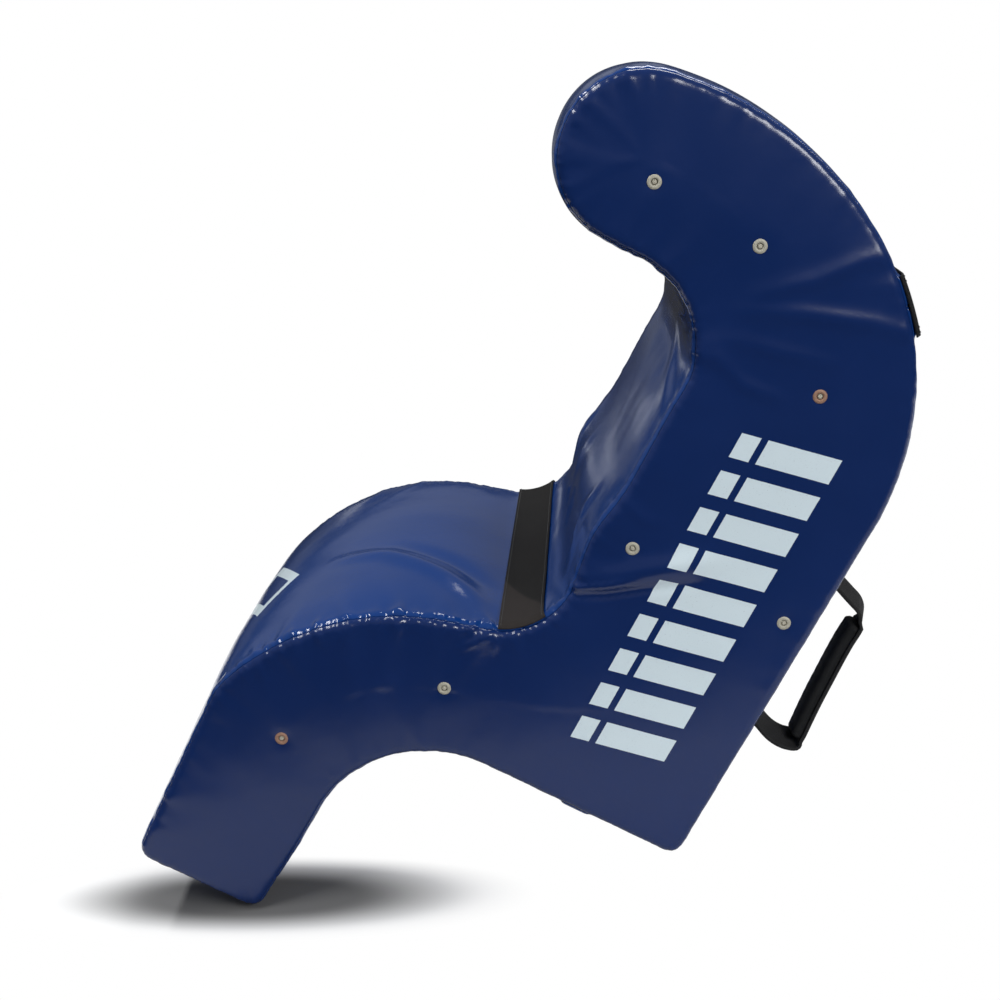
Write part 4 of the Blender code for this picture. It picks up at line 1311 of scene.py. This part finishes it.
dull_brass = ((0.32, 0.305, 0.25), (0.44, 0.42, 0.345))
coppery_brass = ((0.20, 0.105, 0.070), (0.36, 0.21, 0.14))
dull_metal, copper_metal = (
    cloudy_paint(name, 0.12, (420.0, 5.0), colours, (0.50, 0.72), 0.00008)
    for name, colours in (("dull_brass", dull_brass), ("coppery_brass", coppery_brass))
)
eyelet_profile = (
    (eyelet_bore, 0.0026), (eyelet_bore, 0.0004), (eyelet_bore + 0.0004, -0.0006),
    (eyelet_bore + 0.0012, -0.0011), (eyelet_flange - 0.0016, -0.0010), (eyelet_flange - 0.0005, -0.0006),
    (eyelet_flange, 0.0000), (eyelet_flange - 0.0003, 0.0003),
    (eyelet_barrel, 0.0003), (eyelet_barrel, 0.0026),
)
for side, sign in (("near", -1), ("far", 1)):
    for label, spot in eyelet_places.items():
        bm = bmesh.new()
        height = face_height(spot, side) + eyelet_stand
        add_turned(bm, (*eyelet_profile, eyelet_profile[0]), spot, height, sign, 40)
        bmesh.ops.remove_doubles(bm, verts=bm.verts, dist=0.000001)
        metal = copper_metal if label in ("shoulder", "shin") else dull_metal
        ring = edited(f"eyelet_ring_{side}_{label}", bm, upright, metal, eyelet_crease)
        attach(ring, "root")
        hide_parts(f"eyelet_{side}_{label}")

# Carry handles: a loop of 40 mm webbing on each half of the back. Its ends lie flat on square patches
# and are sewn down, and a padded sleeve is sewn round its outer side. The loop swings at its ends on
# the real bag; here only its sleeve rides on the handle's body.
handle_black = webbing_paint("handle_webbing", (0.0105, 0.0105, 0.0110), (0.030, 0.030, 0.031), 0.0016)
grip_black = webbing_paint("grip_cloth", (0.0058, 0.0062, 0.0068), (0.0150, 0.0158, 0.0170), 0.0011, 0.62)
handle_inset, handle_high = 0.105, 0.337
patch_size, patch_thickness = 0.050, 0.0020
webbing_width, webbing_thickness = 0.040, 0.0042
webbing_edge, leg_twist, handle_crease = 0.0008, math.radians(13.0), 48
handle_route = (
    (0.0072, 0.3600), (0.0070, 0.3500), (0.0080, 0.3410), (0.0160, 0.3350), (0.0306, 0.3285),
    (0.0450, 0.3230), (0.0575, 0.3180), (0.0655, 0.3095), (0.0678, 0.2965), (0.0676, 0.2780),
    (0.0684, 0.2580), (0.0700, 0.2330), (0.0717, 0.2070), (0.0741, 0.1810), (0.0764, 0.1580),
    (0.0745, 0.1480), (0.0650, 0.1440), (0.0560, 0.1432), (0.0467, 0.1443), (0.0380, 0.1470),
    (0.0301, 0.1505), (0.0200, 0.1550), (0.0100, 0.1610), (0.0072, 0.1680), (0.0070, 0.1760),
    (0.0072, 0.1830),
)
grip_top, grip_bottom = 0.302, 0.152
grip_thickness, grip_width, grip_setback = 0.0088, 0.0165, 0.0048
grip_facets, grip_corner = 28, 0.62
tail_half, tail_face = 0.0155, 0.0094


def smooth_route(points, count):
    """Evenly spaced points on a smooth curve through the given ones."""
    points = np.array(points)
    padded = np.concatenate(([2 * points[0] - points[1]], points, [2 * points[-1] - points[-2]]))
    dense = []
    for a, b, c, d in zip(padded, padded[1:], padded[2:], padded[3:]):
        for t in np.linspace(0, 1, 12, endpoint=False):
            curve = 2 * b + (c - a) * t + (2 * a - 5 * b + 4 * c - d) * t**2
            dense.append(0.5 * (curve + (3 * b - a - 3 * c + d) * t**3))
    dense = np.array(dense + [points[-1]])
    lengths = lengths_along(dense)
    at = np.linspace(0, lengths[-1], count)
    return np.column_stack([np.interp(at, lengths, dense[:, k]) for k in range(2)])


def facing_out(mesh):
    """Turns the faces of a closed mesh outwards."""
    bm = bmesh.new()
    bm.from_mesh(mesh)
    bmesh.ops.recalc_face_normals(bm, faces=bm.faces)
    bm.to_mesh(mesh)
    bm.free()


def lofted(name, rings, cloth_rings, paint):
    """A closed tube through rings of points, with its flat pattern as its map."""
    faces = tube_faces(len(rings), len(rings[0]))
    mesh = mesh_of(name, leaned(np.concatenate(rings)), faces, np.concatenate(cloth_rings))
    facing_out(mesh)
    return shown(name, mesh, paint, handle_crease)


def outer_sides(route):
    """The direction to a route's outer side at each of its points."""
    ahead = np.gradient(route, axis=0)
    ahead /= np.linalg.norm(ahead, axis=1)[:, None]
    return np.column_stack((-ahead[:, 1], ahead[:, 0]))


def patch_lift(places, across):
    """A handle's patch lies on the cover."""
    return calm_lift(places, across) + webbing_gap


def section(route_point, off, middle_y, shape):
    """A cross section's points in the upright bag, from (thickness, width) pairs."""
    x, z = route_point
    return np.array([(x + off[0] * t, middle_y + w, z + off[1] * t) for t, w in shape])


def squarish(value, power):
    """A cosine or sine to a power below 1, which squares off a round outline."""
    return math.copysign(abs(value) ** power, value)


for side, sign in (("near", -1), ("far", 1)):
    middle_y = sign * (bag_width / 2 - handle_inset)
    route = smooth_route(handle_route, 150)
    off = outer_sides(route)
    lengths = lengths_along(route)
    on_grip = [i for i, p in enumerate(route) if p[0] > 0.050 and grip_bottom <= p[1] <= grip_top]
    grip_ends = lengths[on_grip[0]], lengths[on_grip[-1]]
    half, thin = webbing_width / 2, webbing_thickness / 2
    firm = half - webbing_edge
    shape = [(thin, w) for w in np.linspace(-firm, firm, 12)] + [(thin * 0.5, half), (-thin * 0.5, half)]
    shape += [(-t, -w) for t, w in shape]
    rings, cloth_rings = [], []
    for point, outer, length in zip(route, off, lengths):
        from_grip = max(grip_ends[0] - length, length - grip_ends[1], 0.0)
        loose = min(max((point[0] - 0.010) / 0.012, 0.0), 1.0) * min(from_grip / 0.006, 1.0)
        twist = -sign * leg_twist * loose * (1 if length < grip_ends[0] else -1)
        cos, sin = math.cos(twist), math.sin(twist)
        turned = [(t * cos + w * sin, w * cos - t * sin) for t, w in shape]
        rings.append(section(point, outer, middle_y, turned))
        cloth_rings.append(np.array([(length, w) for _, w in shape]))
    loop = lofted(f"handle_{side}_loop", rings, cloth_rings, handle_black)
    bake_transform(loop)
    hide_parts(f"handle_{side}_webbing")

    rings, cloth_rings = [], []
    for k, i in enumerate(on_grip):
        from_end = min(k, len(on_grip) - 1 - k)
        rolled = (0.62, 0.93, 1.0)[min(from_end, 2)]
        waist = 1 + 0.05 * math.sin(math.pi * k / (len(on_grip) - 1)) + 0.012 * math.sin(k * 1.3)
        shape = []
        for j in range(grip_facets):
            turn = 2 * math.pi * j / grip_facets
            t = squarish(math.cos(turn), grip_corner) * grip_thickness * rolled * waist - grip_setback
            w = squarish(math.sin(turn), grip_corner) * grip_width * (0.55 + 0.45 * rolled)
            shape.append((t, w))
        rings.append(section(route[i], off[i], middle_y, shape))
        cloth_rings.append(np.array([(lengths[i], j * 0.0018) for j in range(grip_facets)]))
    grip = lofted(f"handle_{side}_sleeve", rings, cloth_rings, grip_black)
    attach(grip, f"handle_{side}")
    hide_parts(f"handle_{side}_grip")

    seam = []
    for point, outer in zip(route[on_grip][3:-3], off[on_grip][3:-3]):
        inner = point - outer * (grip_thickness + grip_setback)
        facing = upright.to_3x3() @ Vector((-outer[0], 0.0, -outer[1]))
        seam.append((leaned([(inner[0], middle_y, inner[1])])[0], np.array(facing)))
    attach(sewn(f"handle_{side}_sleeve_seam", [seam]), f"handle_{side}")

    for end, height in (("upper", handle_high), ("lower", handle_low)):
        middle = stretches["back"][0] + (height - corner_radius) * 1000
        patch_ends = (middle - patch_size * 500, middle + patch_size * 500)
        patch_sides = ((middle_y - patch_size / 2) * 1000, (middle_y + patch_size / 2) * 1000)
        patch = closed_strip(
            f"handle_{side}_patch_{end}", edged(*patch_ends, 3.0), edged(*patch_sides, 3.0), patch_lift,
            patch_thickness, handle_black,
        )
        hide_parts(f"handle_{side}_anchor_{end}")
        tail_ends = (height + 0.0045, height + 0.0190)
        corners = [(y, z) for z in tail_ends for y in (middle_y - tail_half, middle_y + tail_half)]
        lines = []
        for a, b in ((0, 1), (2, 3), (0, 2), (1, 3), (0, 3), (1, 2)):
            steps = np.linspace(0, 1, 12)[:, None]
            line = np.array(corners[a]) * (1 - steps) + np.array(corners[b]) * steps
            stood = leaned(np.column_stack((np.full(len(line), tail_face), line)))
            lines.append([(point, np.array(back_normal)) for point in stood])
        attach(sewn(f"handle_{side}_stitching_{end}", lines), "root")

# Zip: a nylon coil zip across the base, which lets the foam in. Its woven tapes are sewn inside the
# slot, the two coils close along its middle, and a metal staple ends them.
tape_depth, tape_thickness, tape_width, tape_tail = 0.0023, 0.0008, 15.0, 7.5
coil_middle, coil_half_width, coil_half_height = 1.95, 1.4, 0.00082
coil_outer, coil_pitch, coil_thread = 0.0002, 1.25, 0.00030
coil_steps, coil_sides = 10, 5
coil_length = (zip_half_length * 1000 - 4.6) * 2
tape_black = webbing_paint("zip_tape_cloth", (0.0090, 0.0090, 0.0100), (0.0240, 0.0240, 0.0260), 0.0009)


def tape_lift(places, across):
    """The tape lies flat inside the slot."""
    return np.full(len(places), -tape_depth)


nylon_tones = ((0.014, 0.014, 0.016), (0.034, 0.034, 0.038))
nylon = cloudy_paint("zip_nylon", 0.0, (260.0, 4.0), nylon_tones, (0.28, 0.46))
for label, sign in (("front", -1), ("rear", 1)):
    edges = sorted((zip_line + sign * 0.8, zip_line + sign * (0.8 + tape_width)))
    half = zip_half_length * 1000 + tape_tail
    tape = closed_strip(
        f"zip_cloth_{label}", edged(*edges, 2.5), edged(-half, half, 6.0), tape_lift,
        tape_thickness, tape_black,
    )
    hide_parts(f"zip_tape_{label}")
    turns = round(coil_length / coil_pitch)
    at = np.arange(turns * coil_steps + 1) / coil_steps
    phase = 2 * math.pi * at
    squared = np.sign(np.cos(phase)) * np.abs(np.cos(phase)) ** 0.7
    path = np.column_stack(
        (
            -zip_setback + sign * (coil_middle + coil_half_width * squared) / 1000,
            (at * coil_pitch - coil_length / 2) / 1000,
            coil_outer - coil_half_height * np.sin(phase),
        )
    )
    ahead = np.gradient(path, axis=0)
    ahead /= np.linalg.norm(ahead, axis=1)[:, None]
    outer = np.cross(ahead, (0.0, 1.0, 0.0))
    outer /= np.linalg.norm(outer, axis=1)[:, None]
    aside = np.cross(ahead, outer)
    turn = (2 * math.pi * np.arange(coil_sides) / coil_sides)[None, :, None]
    spokes = outer[:, None, :] * np.cos(turn) + aside[:, None, :] * np.sin(turn)
    rings = path[:, None, :] + coil_thread * spokes
    name = f"zip_spiral_{label}"
    mesh = mesh_of(name, leaned(rings.reshape(-1, 3)), tube_faces(len(path), coil_sides))
    facing_out(mesh)
    spiral = shown(name, mesh, nylon)
    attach(spiral, "root")
    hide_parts(f"zip_coil_{label}")

hem_lines, hem_inset, hem_lift = [], 3.0, 0.0002
hem_half, hem_end = zip_slot / 2 + hem_inset, zip_half_length * 1000 + hem_inset
for offset in (-hem_half, hem_half):
    across = np.linspace(-hem_end, hem_end, 120)
    hem_lines.append(surface_line(np.full(len(across), zip_line + offset), across, hem_lift))
for end in (-hem_end, hem_end):
    places = np.linspace(zip_line - hem_half, zip_line + hem_half, 12)
    hem_lines.append(surface_line(places, np.full(len(places), end), hem_lift))
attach(sewn("zip_hem_stitching", hem_lines), "root")

# Zip metal: nickel-plated die castings, brushed by handling. A staple grips both coils at each end, the
# slider has two plates, a post between them and an arched bridge, and the pull hangs in the bridge.
nickel_tones = ((0.32, 0.32, 0.33), (0.52, 0.52, 0.53))
nickel = cloudy_paint("zip_nickel", 0.95, (180.0, 7.0), nickel_tones, (0.20, 0.45), 0.00005)


def cast_plate(bm, outlines, low, high, turn=None):
    """Adds a flat casting from one height to another: outlines in X and Y, the later ones its holes."""
    curve = bpy.data.curves.new("outline", "CURVE")
    curve.dimensions = "2D"
    curve.fill_mode = "BOTH"
    curve.bevel_depth = 0.00018
    curve.bevel_resolution = 2
    curve.extrude = (high - low) / 2 - curve.bevel_depth
    curve.offset = -curve.bevel_depth
    for outline in outlines:
        line = curve.splines.new("POLY")
        line.points.add(len(outline) - 1)
        for point, (x, y) in zip(line.points, outline):
            point.co = (x, y, 0.0, 1.0)
        line.use_cyclic_u = True
    flat = bpy.data.objects.new("outline", curve)
    bpy.context.scene.collection.objects.link(flat)
    bpy.context.view_layer.update()
    solid = bpy.data.meshes.new_from_object(flat.evaluated_get(bpy.context.evaluated_depsgraph_get()))
    bpy.data.objects.remove(flat)
    bpy.data.curves.remove(curve)
    solid.transform(Matrix.Translation((0.0, 0.0, (low + high) / 2)))
    if turn:
        solid.transform(turn)
    bm.from_mesh(solid)
    bpy.data.meshes.remove(solid)


def rounded(half_x, half_y, radius, middle=(0.0, 0.0)):
    """Points round a rectangle with round corners."""
    points = []
    for corner, (sign_x, sign_y) in enumerate(((1, 1), (-1, 1), (-1, -1), (1, -1))):
        for i in range(6):
            turn = math.radians(90 * (corner + i / 5))
            x = middle[0] + sign_x * (half_x - radius) + radius * math.cos(turn)
            points.append((x, middle[1] + sign_y * (half_y - radius) + radius * math.sin(turn)))
    return points


def metal_piece(name, bm, place, body, node):
    """A finished metal piece of the zip, at a place in the upright bag, riding on its body."""
    bmesh.ops.remove_doubles(bm, verts=bm.verts, dist=0.000002)
    made = edited(name, bm, upright @ Matrix.Translation(place), nickel, 35)
    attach(made, body)
    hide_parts(node)


staple_half, staple_length = 0.0033, 0.0037
for side, sign in (("near", -1), ("far", 1)):
    bm = bmesh.new()
    cast_plate(bm, [rounded(staple_half, staple_length / 2, 0.0009)], -0.0010, 0.0000)
    for edge in (-1, 1):
        claw = rounded(0.0005, staple_length / 2, 0.0003, (edge * (staple_half - 0.0006), 0.0))
        cast_plate(bm, [claw], -0.0004, 0.0012)
    place = (-zip_setback, sign * (zip_half_length - 0.0022), 0.0)
    metal_piece(f"zip_staple_{side}", bm, place, "root", f"zip_stop_{side}")

slider_half_length, slider_wide, slider_narrow, slider_corner = 0.0060, 0.0042, 0.0033, 0.55
slider_plates, slider_post = ((-0.0026, -0.0012), (0.0027, 0.0041)), (-0.0019, 0.0034)
slider_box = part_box("zip_slider")
slider_y = (slider_box[0][1] + slider_box[1][1]) / 2
outline = []
for i in range(48):
    turn = 2 * math.pi * i / 48
    y = squarish(math.sin(turn), slider_corner) * slider_half_length
    half = slider_narrow + (slider_wide - slider_narrow) / (1 + math.exp(-(y - 0.0015) / 0.0009))
    outline.append((squarish(math.cos(turn), slider_corner) * half, y))
bm = bmesh.new()
for low, high in slider_plates:
    cast_plate(bm, [outline], low, high)
cast_plate(bm, [rounded(0.00048, 0.0028, 0.0004)], *slider_post)
arch = []
for half, rise, steps in ((0.0040, 0.0037, range(25)), (0.0028, 0.0027, range(24, -1, -1))):
    for turn in (math.pi * i / 24 for i in steps):
        arch.append((half * math.cos(turn), -0.0022 - rise * math.sin(turn) ** 0.6))
onto_side = Matrix(((0.0, 0.0, 1.0), (1.0, 0.0, 0.0), (0.0, 1.0, 0.0))).to_4x4()
cast_plate(bm, [arch], -0.0009, 0.0009, onto_side)
metal_piece("zip_slider_casting", bm, (-zip_setback, slider_y, 0.0), "zip_slider", "zip_slider")

pull_axis, pull_length, pull_half, pull_eye, pull_corner = -0.00375, 0.0260, 0.0035, 0.0054, 0.5
pull_outline = []
for i in range(64):
    turn = 2 * math.pi * i / 64
    down = squarish(math.sin(turn), pull_corner)
    z = -pull_length / 2 + down * (pull_length / 2 + 0.0003)
    waist = 1 - 0.20 * math.exp(-(((z + pull_eye + 0.0028) / 0.0022) ** 2))
    pull_outline.append((squarish(math.cos(turn), pull_corner) * pull_half * waist, z))
eye = rounded(pull_half - 0.0012, (pull_eye - 0.0007) / 2, 0.0011, (0.0, -(pull_eye - 0.0007) / 2 + 0.0001))
tip_hole = rounded(0.0014, 0.0022, 0.0013, (0.0, -pull_length + 0.0050))
stand_up = Matrix(((1.0, 0.0, 0.0), (0.0, 0.0, -1.0), (0.0, 1.0, 0.0))).to_4x4()
bm = bmesh.new()
cast_plate(bm, [pull_outline, eye[::-1], tip_hole[::-1]], -0.0006, 0.0006, stand_up)
for rib in range(4):
    height = -pull_eye - 0.0052 - rib * 0.0018
    for face in (-1, 1):
        low, high = sorted((face * 0.0004, face * 0.00085))
        cast_plate(bm, [rounded(0.0021, 0.00035, 0.0003, (0.0, height))], low, high, stand_up)
metal_piece("zip_pull_tab", bm, (-zip_setback, slider_y, pull_axis), "zip_pull", "zip_pull")

bpy.context.scene.view_settings.view_transform = "Standard"
